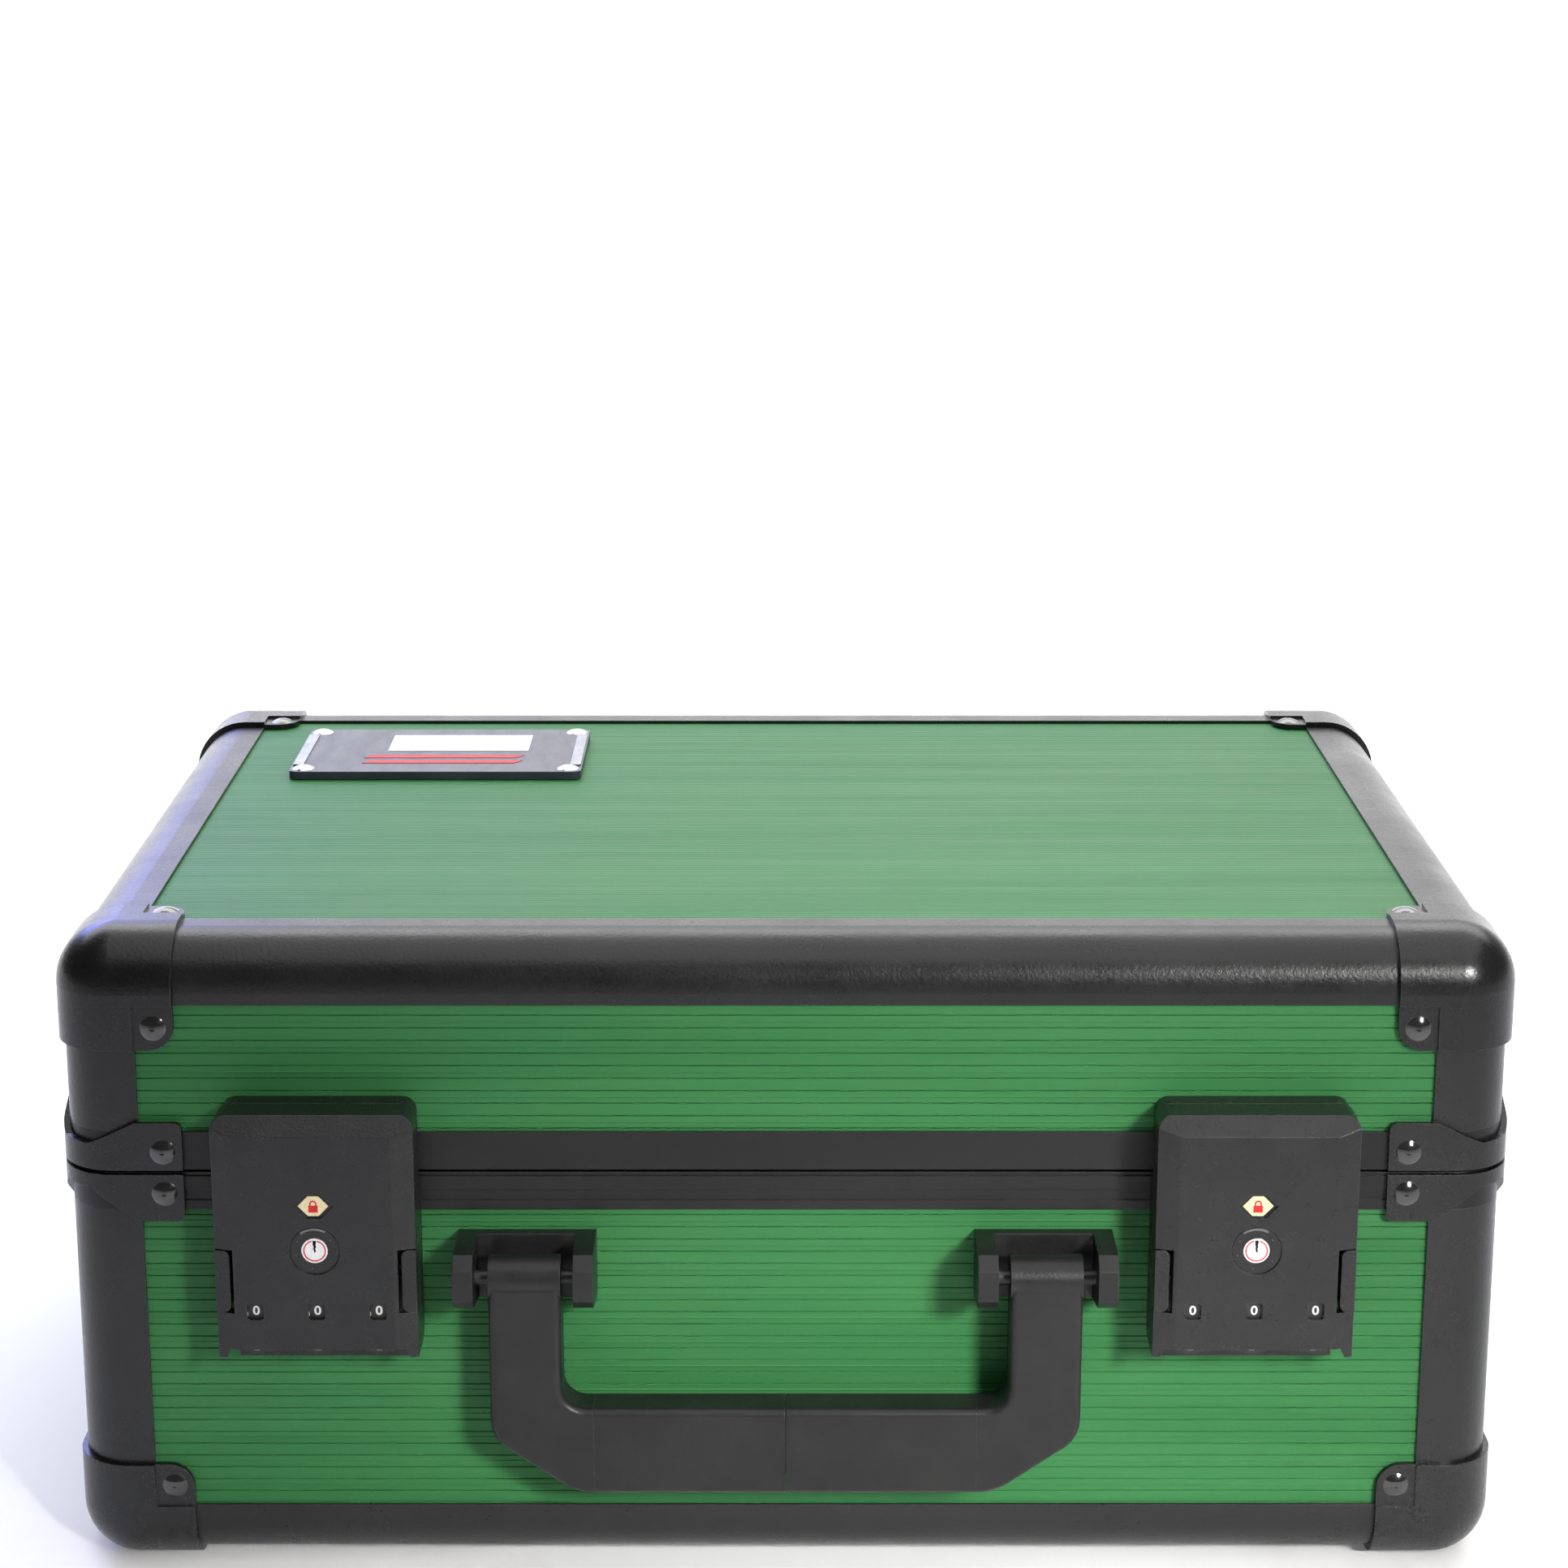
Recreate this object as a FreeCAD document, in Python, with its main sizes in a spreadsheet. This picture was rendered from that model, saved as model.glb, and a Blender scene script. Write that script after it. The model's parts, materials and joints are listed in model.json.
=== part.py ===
"""Lockable aluminium-framed pistol case (portable gun safe), in millimetres.

The case is built from flat laminated panels held in extruded rails, with ball
corners riveted over the rail ends.  The lid hangs on two rear hinges, two
combination locks hold it at the front, and a bail handle hangs between them.

Frame: +X to the right, +Y to the back, +Z up.  The origin is under the middle of
the whole object, on the plane that the ball corners stand on.  Inside this file
the case itself is centred on y = 0 and every finished piece is then moved back by
case_shift, because the locks and handle stand out further than the hinges.
"""
import FreeCAD, Part
import math
import os
import re

from FreeCAD import Placement, Rotation, Vector
from Sketcher import Constraint

# ---------------------------------------------------------------- driving sizes
SIZES = (
    ("case_width", 466.0, "outside of the rails, side to side"),
    ("case_depth", 324.0, "outside of the rails, front to back"),
    ("case_height", 216.0, "outside of the rails, bottom to top"),
    ("base_height", 138.8, "rail bottom to the parting plane"),
    ("parting_gap", 0.9, "open height between the two frames"),
    ("rail_radius", 17.5, "outer round of every rail"),
    ("rail_leg", 25.2, "rail leg on the top, bottom and corner faces"),
    ("rail_drop", 21.2, "rail leg on the upright faces of long and side rails"),
    ("rail_inner", 20.0, "reach of the rail's inner leg"),
    ("rail_wall", 1.2, "wall of the rail's inner leg"),
    ("rail_cut", 26.0, "rail end, back from the case's corner"),
    ("lip", 1.0, "rail face above panel face"),
    ("panel_thickness", 5.0, "laminated panel"),
    ("panel_setback", 15.0, "panel edge, in from the rail face"),
    ("panel_grip", 2.4, "panel edge inside the frame's slot"),
    ("frame_face", 12.8, "visible height of each parting frame"),
    ("frame_wall", 7.2, "depth of each parting frame"),
    ("groove_height", 3.6, "recessed line along the base frame"),
    ("groove_rise", 3.1, "groove above the base frame's lower edge"),
    ("groove_depth", 0.6, "groove into the base frame"),
    ("rebate_height", 1.1, "shadow line under the base frame's top bead"),
    ("rebate_depth", 0.7, "shadow line into the base frame"),
    ("bead_height", 0.4, "top bead of the base frame"),
    ("tongue_width", 1.6, "sealing tongue on the base frame"),
    ("tongue_height", 2.4, "tongue above the base frame"),
    ("tongue_inset", 3.4, "tongue, in from the rail face"),
    ("tongue_play", 0.7, "room around the tongue in the lid frame"),
    ("armour", 2.0, "sheet of ball corners and waist brackets"),
    ("cap_reach_x", 38.0, "ball corner along the width"),
    ("cap_reach", 36.0, "ball corner along the depth and height"),
    ("cap_round", 8.0, "free corners of the ball corner's ears"),
    ("waist_reach", 39.3, "waist bracket along each face"),
    ("waist_round", 2.6, "free corners of the waist brackets"),
    ("lid_waist_tall", 16.4, "lid waist bracket at its ears"),
    ("lid_waist_neck", 9.0, "lid waist bracket round the corner"),
    ("base_waist_tall", 16.1, "base waist bracket at its ears"),
    ("base_waist_neck", 5.2, "base waist bracket round the corner"),
    ("waist_shoulder", 24.0, "where a waist bracket's slope meets its ear"),
    ("waist_gap", 0.3, "waist bracket edge to the parting frame's edge"),
    ("rivet_head", 4.2, "rivet head radius"),
    ("rivet_dome", 1.3, "rivet head height"),
    ("low_rivet_dome", 0.8, "height of the flatter heads under the case"),
    ("rivet_shank", 1.6, "rivet shank radius"),
    ("rivet_play", 0.05, "radial room round a rivet shank"),
    ("rivet_tail", 2.6, "upset tail radius"),
    ("rivet_tail_height", 0.9, "upset tail height"),
    ("cap_rivet_side", 31.6, "ball corner rivet from the upright edge"),
    ("cap_rivet_drop", 28.6, "ball corner rivet from the top or bottom edge"),
    ("cap_rivet_in", 30.4, "ball corner's flat ear: rivet from the front or rear face"),
    ("waist_rivet_side", 33.1, "waist bracket rivet from the upright edge"),
    ("waist_rivet_drop", 6.6, "waist bracket rivet from the frame's parting edge"),
    ("foam_gap", 3.0, "room between foam and panels"),
    ("foam_wall", 16.0, "foam round the base walls"),
    ("foam_floor", 22.0, "foam on the base floor"),
    ("lid_foam_depth", 34.0, "convoluted foam under the lid"),
    ("foam_seam", 0.5, "foam piece to foam piece"),
    ("foam_top_room", 4.0, "wall foam top below the parting plane"),
    ("plate_width", 110.0, "name plate"),
    ("plate_depth", 67.0, "name plate"),
    ("plate_thickness", 3.0, "name plate"),
    ("plate_left", 46.0, "name plate edge from the rail's left face"),
    ("plate_back", 48.5, "name plate edge from the rail's rear face"),
    ("plate_round", 3.0, "name plate corners"),
    ("plate_screw_inset", 5.0, "screw centres from the plate's edges"),
    ("plate_screw_head", 4.2, "name plate screw head radius"),
    ("plate_screw_dome", 1.4, "name plate screw head height"),
    ("plate_screw_shank", 1.4, "name plate screw shank radius"),
    ("plate_screw_length", 5.7, "name plate screw shank below its head"),
    ("handle_half", 83.5, "handle arm from the middle of the case"),
    ("arm_width", 23.2, "handle arm, side to side"),
    ("arm_thickness", 15.0, "handle arm and grip, front to back"),
    ("handle_stand", 12.5, "handle pivot in front of the rail face"),
    ("handle_pivot_rise", 109.3, "handle pivot above the case's bottom plane"),
    ("grip_top", 66.2, "top of the grip above the case's bottom plane"),
    ("grip_height", 29.6, "grip, bottom to top"),
    ("grip_half", 61.8, "grip sleeve, half its length"),
    ("grip_seam", 0.2, "gap between the grip sleeve's two halves"),
    ("slant_width", 27.5, "sloping outer corner of the handle, side to side"),
    ("slant_height", 19.2, "sloping outer corner of the handle, bottom to top"),
    ("slant_upper_bend", 12.5, "bend from the arm into the slope"),
    ("slant_lower_bend", 17.0, "bend from the slope into the grip"),
    ("handle_inner_bend", 7.8, "inner corner of the handle"),
    ("handle_edge", 2.4, "rounding along the handle's edges"),
    ("core_height", 18.0, "steel core through the grip"),
    ("core_thickness", 8.0, "steel core through the grip"),
    ("bracket_width", 44.6, "handle bracket"),
    ("bracket_plate", 4.0, "handle bracket's back plate"),
    ("bracket_below", 10.9, "handle bracket below its pivot"),
    ("bracket_above", 11.0, "handle bracket above its pivot"),
    ("ear_width", 6.4, "handle bracket ear"),
    ("ear_reach", 25.0, "ear in front of the rail face"),
    ("ear_chamfer", 4.2, "slope on the ear's upper front edge"),
    ("ear_lower_chamfer", 3.4, "slope on the ear's lower front edge"),
    ("bracket_rivet_pitch", 11.6, "handle bracket rivet to rivet"),
    ("handle_pin_radius", 2.5, "handle pin"),
    ("fixed_play", 0.02, "radial room round a pin that is held fast"),
    ("running_play", 0.05, "radial room round a pin that turns"),
    ("lock_offset", 149.5, "lock from the middle of the case"),
    ("cover_width", 64.0, "lock cover"),
    ("cover_top_rise", 166.0, "lock cover's top above the bottom plane"),
    ("cover_reach", 21.5, "lock cover's face in front of the rail face"),
    ("cover_wall", 1.8, "lock cover's side and top walls"),
    ("cover_face", 4.5, "lock cover's face, over the mechanism"),
    ("cover_skin", 1.2, "lock cover's face over the dials"),
    ("cover_round", 4.6, "lock cover's upper corners"),
    ("top_bevel_height", 5.8, "sloping strip along the cover's top edge"),
    ("top_bevel_depth", 4.5, "sloping strip along the cover's top edge"),
    ("side_bevel_width", 7.0, "sloping strips down the cover's sides"),
    ("side_bevel_depth", 1.8, "sloping strips down the cover's sides"),
    ("cover_clear", 0.4, "cover's upper back edge to the keeper plate"),
    ("cover_pivot_rise", 89.9, "lock cover pivot above the bottom plane"),
    ("cover_pivot_reach", 6.4, "lock cover pivot in front of the rail face"),
    ("cheek_radius", 5.0, "cover's cheeks behind and below the pivot"),
    ("cheek_round", 4.9, "round of the cheeks' lower back corner"),
    ("face_lift", 3.2, "face's lower edge above the cheeks' lowest point"),
    ("foot_width", 4.0, "pointed feet at the face's lower corners"),
    ("lock_pin_radius", 1.4, "lock pivot pin"),
    ("lug_radius", 4.0, "pivot lug on the lock's base plate"),
    ("lug_width", 2.4, "pivot lug on the lock's base plate"),
    ("lug_gap", 0.4, "lug to the cover's side wall"),
    ("lock_base_play", 2.0, "lock base plate to the cover's side walls"),
    ("lock_base_below", 12.4, "lock base plate below the pivot"),
    ("lock_base_thickness", 2.2, "lock base plate in front of the rail face"),
    ("keeper_thickness", 6.0, "keeper plate in front of the rail face"),
    ("keeper_inset", 0.8, "keeper plate edge inside the cover's outline"),
    ("keeper_slot", 9.0, "keeper slots for the latch noses, side to side"),
    ("slot_height", 5.0, "keeper slots, bottom to top"),
    ("slot_depth", 3.5, "keeper slots, front to back"),
    ("nose_gap", 0.5, "latch nose to the keeper's face"),
    ("nose_play", 0.5, "latch nose to the edges of its slot"),
    ("latch_drop", 12.0, "latch plate's middle below the cover's top"),
    ("latch_thickness", 2.5, "latch plate"),
    ("latch_half", 22.0, "latch plate, half its width"),
    ("nose_offset", 15.0, "latch noses from the lock's middle"),
    ("dial_side", 12.4, "outer dials' centres from the cover's sides"),
    ("dial_gap", 1.6, "dial to dial"),
    ("dial_rise", 95.0, "dial centre above the bottom plane"),
    ("dial_thickness", 2.4, "number dial"),
    ("dial_play", 0.3, "dial to the cover's skin and walls"),
    ("dial_notches", 20.0, "knurls round a dial"),
    ("notch_radius", 0.55, "knurl groove radius"),
    ("spindle_radius", 2.0, "dial spindle on the cover"),
    ("window_rise", 101.2, "number window above the bottom plane"),
    ("window_width", 5.3, "number window"),
    ("window_height", 5.8, "number window"),
    ("window_round", 1.2, "number window corners"),
    ("plug_rise", 121.9, "key plug above the bottom plane"),
    ("plug_radius", 4.2, "key plug"),
    ("collar_radius", 8.1, "recess round the key plug"),
    ("collar_depth", 0.7, "recess round the key plug"),
    ("plug_length", 14.0, "key plug"),
    ("keyway_width", 1.1, "keyway"),
    ("keyway_below", 0.6, "keyway below the plug's middle"),
    ("keyway_above", 3.4, "keyway above the plug's middle"),
    ("keyway_depth", 9.0, "keyway"),
    ("emblem_rise", 137.0, "hexagon recess above the bottom plane"),
    ("emblem_width", 12.8, "hexagon recess, point to point"),
    ("emblem_height", 8.2, "hexagon recess, bottom to top"),
    ("emblem_point", 4.1, "hexagon's pointed ends, side to side"),
    ("emblem_depth", 0.8, "hexagon recess"),
    ("button_rise", 111.2, "side button's middle above the bottom plane"),
    ("button_height", 21.0, "side button"),
    ("button_width", 4.6, "side button across the cover's face"),
    ("button_depth", 9.0, "side button, front to back"),
    ("button_gap", 0.3, "side button to the cover's opening"),
    ("button_round", 2.2, "side button's inner corners"),
    ("button_travel", 0.9, "side button's stroke"),
    ("spring_radius", 2.0, "button spring, to the wire's middle"),
    ("spring_wire", 0.35, "button spring's wire radius"),
    ("spring_pitch", 1.3, "button spring's coil pitch"),
    ("spring_turns", 5.0, "button spring's coils"),
    ("hinge_offset", 130.0, "rear hinge from the middle of the case"),
    ("hinge_width", 50.0, "rear hinge"),
    ("hinge_leaf", 1.6, "rear hinge leaf thickness"),
    ("hinge_leaf_height", 26.0, "rear hinge leaf from the pivot"),
    ("hinge_reach", 4.2, "hinge pivot behind the rail face"),
    ("hinge_rivet_pitch", 17.0, "hinge rivet to hinge rivet"),
    ("knuckle_radius", 3.6, "hinge knuckle"),
    ("knuckle_gap", 0.2, "end play between hinge knuckles"),
    ("hinge_pin_radius", 1.6, "hinge pin"),
)

doc = FreeCAD.newDocument("gun_case")
sheet = doc.addObject("Spreadsheet::Sheet", "sizes")
for row, (alias, number, meaning) in enumerate(SIZES, start=1):
    sheet.set(f"A{row}", alias)
    sheet.set(f"B{row}", str(number))
    sheet.setAlias(f"B{row}", alias)
    sheet.set(f"C{row}", meaning)
doc.recompute()
size = {alias: float(sheet.get(alias)) for alias, _, _ in SIZES}

# Named planes and lines of the case, as expressions of the sheet's cells.
LEFT = "(-case_width / 2)"
RIGHT = "(case_width / 2)"
FRONT = "(-case_depth / 2)"
REAR = "(case_depth / 2)"
BOTTOM = "(armour)"
TOP = "(armour + case_height)"
PARTING = "(armour + base_height)"
LID_EDGE = f"({PARTING} + parting_gap / 2)"
BASE_EDGE = f"({PARTING} - parting_gap / 2)"
LID_BAND = f"({LID_EDGE} + frame_face)"
BASE_BAND = f"({BASE_EDGE} - frame_face)"
PANEL_IN = "(lip + panel_thickness)"
FOAM_IN = f"({PANEL_IN} + foam_gap)"
FRONT_REACH = "ear_reach"
REAR_REACH = "(hinge_reach + knuckle_radius)"
CASE_SHIFT = f"(({FRONT_REACH} - {REAR_REACH}) / 2)"
HANDLE_Y = f"({FRONT} - handle_stand)"
HINGE_Y = f"({REAR} + hinge_reach)"
COVER_Y = f"({FRONT} - cover_pivot_reach)"
COVER_BACK = f"({COVER_Y} + cheek_radius)"
COVER_FRONT = f"({FRONT} - cover_reach)"
COVER_IN = f"({COVER_FRONT} + cover_face)"
COVER_LOW = "(cover_pivot_rise - cheek_radius)"
DIAL_FRONT = f"({COVER_FRONT} + cover_skin + dial_play)"
DIAL_PITCH = "(cover_width / 2 - dial_side)"
DIAL_RADIUS = f"(({DIAL_PITCH} - dial_gap) / 2)"
DIAL_COLUMNS = (f"(-{DIAL_PITCH})", "0", DIAL_PITCH)


# ---------------------------------------------------------------- building kit
def cells(expression):
    """The expression with each plain name turned into a cell of the sheet."""
    return re.sub(r"[A-Za-z_]\w*", lambda name: "sizes." + name.group(), expression)


def bind(item, **properties):
    """Bind properties to expressions; __ in a name stands for a dot."""
    for name, expression in properties.items():
        item.setExpression(name.replace("__", "."), cells(expression))


TURNS = {
    "x": Rotation(Vector(0, 1, 0), 90),
    "y": Rotation(Vector(1, 0, 0), -90),
    "z": Rotation(),
}
NORMALS = {"YZ_Plane": 1, "XZ_Plane": -1, "XY_Plane": 1}


def pick(shape, along, **where):
    """Names of straight edges along an axis whose place on other axes fits.

    A place is the shape's "low" or "high" side, either of its "ends", or "inside".
    """
    points = [vertex.Point for vertex in shape.Vertexes]
    spans = {}
    for axis in "xyz":
        places = [getattr(point, axis) for point in points]
        spans[axis] = (min(places), max(places))
    names = []
    for number, edge in enumerate(shape.Edges, start=1):
        ends = [vertex.Point for vertex in edge.Vertexes]
        if len(ends) < 2 or edge.Curve.TypeId != "Part::GeomLine":
            continue
        run = ends[1] - ends[0]
        if abs(getattr(run, along)) < run.Length - 1e-6:
            continue
        if all(fits(getattr(ends[0], axis), spans[axis], place)
               for axis, place in where.items()):
            names.append(f"Edge{number}")
    return names


def rim(shape, axis, keep):
    """Names of edges in the end planes of an axis, leaving out those at keep's high end."""
    points = [vertex.Point for vertex in shape.Vertexes]
    ends = (min(getattr(p, axis) for p in points), max(getattr(p, axis) for p in points))
    last = max(getattr(p, keep) for p in points)
    names = []
    for number, edge in enumerate(shape.Edges, start=1):
        corners = [vertex.Point for vertex in edge.Vertexes]
        flat = any(all(abs(getattr(p, axis) - end) < 1e-4 for p in corners) for end in ends)
        kept = all(abs(getattr(p, keep) - last) < 1e-4 for p in corners)
        if flat and not kept:
            names.append(f"Edge{number}")
    return names


def fits(value, span, place):
    low, high = span
    if place == "low":
        return abs(value - low) < 1e-4
    if place == "high":
        return abs(value - high) < 1e-4
    if place == "ends":
        return min(abs(value - low), abs(value - high)) < 1e-4
    return min(value - low, high - value) > 1e-4


class Piece:
    """One sub-part, made as a PartDesign body."""

    def __init__(self, label, x="0"):
        self.body = doc.addObject("PartDesign::Body", label)
        self.body.Label = label
        self.x = x

    def box(self, x, y, z, cut=False):
        """A block; x, y and z are pairs of expressions, low then high."""
        kind = "PartDesign::SubtractiveBox" if cut else "PartDesign::AdditiveBox"
        block = self.body.newObject(kind, "Block")
        bind(block, Length=f"({x[1]}) - ({x[0]})", Width=f"({y[1]}) - ({y[0]})",
             Height=f"({z[1]}) - ({z[0]})", Placement__Base__x=x[0],
             Placement__Base__y=y[0], Placement__Base__z=z[0])
        return self

    def rod(self, axis, start, radius, length, cut=False):
        """A cylinder from the start point along +axis."""
        kind = "PartDesign::SubtractiveCylinder" if cut else "PartDesign::AdditiveCylinder"
        rod = self.body.newObject(kind, "Rod")
        rod.Placement = Placement(Vector(), TURNS[axis])
        bind(rod, Radius=radius, Height=length, Placement__Base__x=start[0],
             Placement__Base__y=start[1], Placement__Base__z=start[2])
        return self

    def outline(self, role, points, low, high, cut=False):
        """A straight-sided outline on an origin plane, filled from low to high."""
        sketch = self.body.newObject("Sketcher::SketchObject", "Outline")
        plane = [item for item in self.body.Origin.OriginFeatures if item.Role == role]
        sketch.AttachmentSupport = [(plane[0], "")]
        sketch.MapMode = "FlatFace"
        near = low if NORMALS[role] > 0 else f"-({high})"
        bind(sketch, AttachmentOffset__Base__z=near)
        count = len(points)
        ring = [Vector(math.cos(math.tau * n / count), math.sin(math.tau * n / count), 0)
                for n in range(count)]
        for number in range(count):
            line = Part.LineSegment(ring[number], ring[(number + 1) % count])
            sketch.addGeometry(line, False)
        for number, (across, up) in enumerate(points):
            sketch.addConstraint(Constraint("Coincident", number, 2, (number + 1) % count, 1))
            for kind, expression in (("DistanceX", across), ("DistanceY", up)):
                index = sketch.addConstraint(Constraint(kind, -1, 1, number, 1, 1.0 + number))
                sketch.setExpression(f"Constraints[{index}]", cells(expression))
        kind = "PartDesign::Pocket" if cut else "PartDesign::Pad"
        feature = self.body.newObject(kind, "Fill")
        feature.Profile = sketch
        bind(feature, Length=f"({high}) - ({low})")
        if cut:
            feature.Reversed = True
        return self

    def fillet(self, radius, along, **where):
        """Round the straight edges along an axis that pick finds."""
        doc.recompute()
        base = self.body.Tip
        names = pick(base.Shape, along, **where)
        if not names:
            raise ValueError(f"{self.body.Label}: no edges along {along}")
        feature = self.body.newObject("PartDesign::Fillet", "Round")
        feature.Base = (base, names)
        bind(feature, Radius=radius)
        return self

    def round_rim(self, radius, axis, keep):
        """Round the outline edges of the faces at both ends of an axis, but not at keep."""
        doc.recompute()
        base = self.body.Tip
        names = rim(base.Shape, axis, keep)
        feature = self.body.newObject("PartDesign::Fillet", "Rim")
        feature.Base = (base, names)
        bind(feature, Radius=radius)
        return self

    def node(self):
        """Finish a piece that is a node of its own."""
        return finish(self.body, self.x)


nodes = {}


def finish(item, x="0"):
    """Name a finished piece as a node and set it at its place in the case."""
    bind(item, Placement__Base__x=x, Placement__Base__y=CASE_SHIFT)
    nodes[item.Label] = item
    return item


def mirrored(source, axis, plane="0"):
    """A mirror image across a plane normal to an axis."""
    image = doc.addObject("Part::Mirroring", source.Name + "_" + axis)
    image.Source = source
    image.Normal = Vector(*(1.0 if name == axis else 0.0 for name in "xyz"))
    bind(image, **{f"Base__{axis}": plane})
    return image


def group(label, *members):
    """Identical pieces that share a node, as separate solids."""
    gathered = doc.addObject("Part::Compound", label)
    gathered.Label = label
    gathered.Links = list(members)
    return gathered


def four_ways(source):
    """A piece of the left front corner and its images in the other three."""
    right = mirrored(source, "x")
    return [source, right, mirrored(source, "y"), mirrored(right, "y")]


def drilled(label, base, holes):
    """A piece with the shanks' holes taken out of it."""
    cut = doc.addObject("Part::Cut", label + "_drilled")
    base.Label = label + "_blank"
    cut.Label = label
    cut.Base = base
    cut.Tool = holes
    return cut


# ---------------------------------------------------------------- rivets
def rivet(point, outward, length, dome):
    """A domed head on its seat, a shank through the work and an upset tail."""
    head = size["rivet_head"]
    shank = size["rivet_shank"]
    curve = (head ** 2 + dome ** 2) / (2 * dome)
    ball = Part.makeSphere(curve, Vector(0, 0, dome - curve))
    solid = ball.common(Part.makeCylinder(head + 1, dome + 1))
    solid = solid.fuse(Part.makeCylinder(shank, length, Vector(0, 0, -length)))
    tail = Part.makeCylinder(size["rivet_tail"], size["rivet_tail_height"],
                             Vector(0, 0, -length - size["rivet_tail_height"]))
    solid = solid.fuse(tail).removeSplitter()
    solid.Placement = Placement(point, Rotation(Vector(0, 0, 1), outward))
    return solid


def drill(point, outward, length):
    """The clearance hole for one rivet shank."""
    radius = size["rivet_shank"] + size["rivet_play"]
    start = point + outward * size["rivet_dome"]
    return Part.makeCylinder(radius, length + 2 * size["rivet_dome"], start, -outward)


def feature(label, shape):
    """A plain feature that holds a shape."""
    item = doc.addObject("Part::Feature", label)
    item.Label = label
    item.Shape = shape
    return item


class Rivets:
    """Rivets of one node, with the holes that they need."""

    def __init__(self, label):
        self.label = label
        self.solids = []
        self.holes = []

    def add(self, point, outward, length, dome=None):
        self.solids.append(rivet(point, outward, length, dome or size["rivet_dome"]))
        self.holes.append(drill(point, outward, length))

    def drills(self):
        return feature(self.label + "_holes", Part.makeCompound(self.holes))

    def node(self):
        return finish(feature(self.label, Part.makeCompound(self.solids)))


half_width = size["case_width"] / 2
half_depth = size["case_depth"] / 2
low_plane = size["armour"]
high_plane = size["armour"] + size["case_height"]
parting = size["armour"] + size["base_height"]
ear_out = size["armour"] - size["lip"]
panel_run = size["armour"] + size["panel_thickness"]
frame_run = size["armour"] + size["frame_wall"]


def shell_rivets(label, edge_plane, up, dome):
    """Rivets of four ball corners and four waist brackets on the lid or the base."""
    rivets = Rivets(label)
    side = size["cap_rivet_side"]
    drop = size["cap_rivet_drop"]
    deep = size["cap_rivet_in"]
    height = edge_plane - up * drop
    waist = parting + up * (size["parting_gap"] / 2 + size["waist_rivet_drop"])
    waist_side = size["waist_rivet_side"]
    for sx in (-1, 1):
        for sy in (-1, 1):
            to_face = Vector(0, sy, 0)
            to_side = Vector(sx, 0, 0)
            to_end = Vector(0, 0, up)
            rivets.add(Vector(sx * (half_width - side), sy * (half_depth + ear_out), height),
                       to_face, panel_run)
            rivets.add(Vector(sx * (half_width + ear_out), sy * (half_depth - side), height),
                       to_side, panel_run)
            rivets.add(Vector(sx * (half_width - side), sy * (half_depth - deep),
                              edge_plane + up * ear_out), to_end, panel_run, dome)
            rivets.add(Vector(sx * (half_width - waist_side),
                              sy * (half_depth + size["armour"]), waist), to_face, frame_run)
            rivets.add(Vector(sx * (half_width + size["armour"]),
                              sy * (half_depth - waist_side), waist), to_side, frame_run)
    return rivets


# ---------------------------------------------------------------- case shell
def panel_pieces(prefix, flat_name, flat, upright, edge, holes):
    """The flat panel of the lid or base and its four upright panels."""
    across = (f"{LEFT} + panel_setback", f"{RIGHT} - panel_setback")
    along = (f"{FRONT} + panel_setback", f"{REAR} - panel_setback")
    skin = ("lip", PANEL_IN)
    heights = (upright, edge)
    label = f"{prefix}_{flat_name}_panel"
    finish(drilled(label, Piece(label).box(across, along, flat).body, holes))
    label = f"{prefix}_front_panel"
    front = (f"{FRONT} + {skin[0]}", f"{FRONT} + {skin[1]}")
    finish(drilled(label, Piece(label).box(across, front, heights).body, holes))
    label = f"{prefix}_back_panel"
    back = (f"{REAR} - {skin[1]}", f"{REAR} - {skin[0]}")
    finish(drilled(label, Piece(label).box(across, back, heights).body, holes))
    label = f"{prefix}_side_panels"
    side = (f"{LEFT} + {skin[0]}", f"{LEFT} + {skin[1]}")
    left = Piece(label + "_left").box(side, along, heights).body
    pair = group(label, left, mirrored(left, "x"))
    finish(drilled(label, pair, holes))


def rail_outline(across, up, drop):
    """Rail section: outer legs, panel slots and an inner angle; across and up give places."""
    inner = f"({PANEL_IN} + rail_wall)"
    corners = (
        ("0", drop), ("0", "0"), ("rail_leg", "0"), ("rail_leg", "lip"),
        ("panel_setback", "lip"), ("panel_setback", PANEL_IN), ("rail_inner", PANEL_IN),
        ("rail_inner", inner), (inner, inner), (inner, "rail_inner"),
        (PANEL_IN, "rail_inner"), (PANEL_IN, "panel_setback"), ("lip", "panel_setback"),
        ("lip", drop),
    )
    return [(across(a), up(b)) for a, b in corners]


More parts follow.
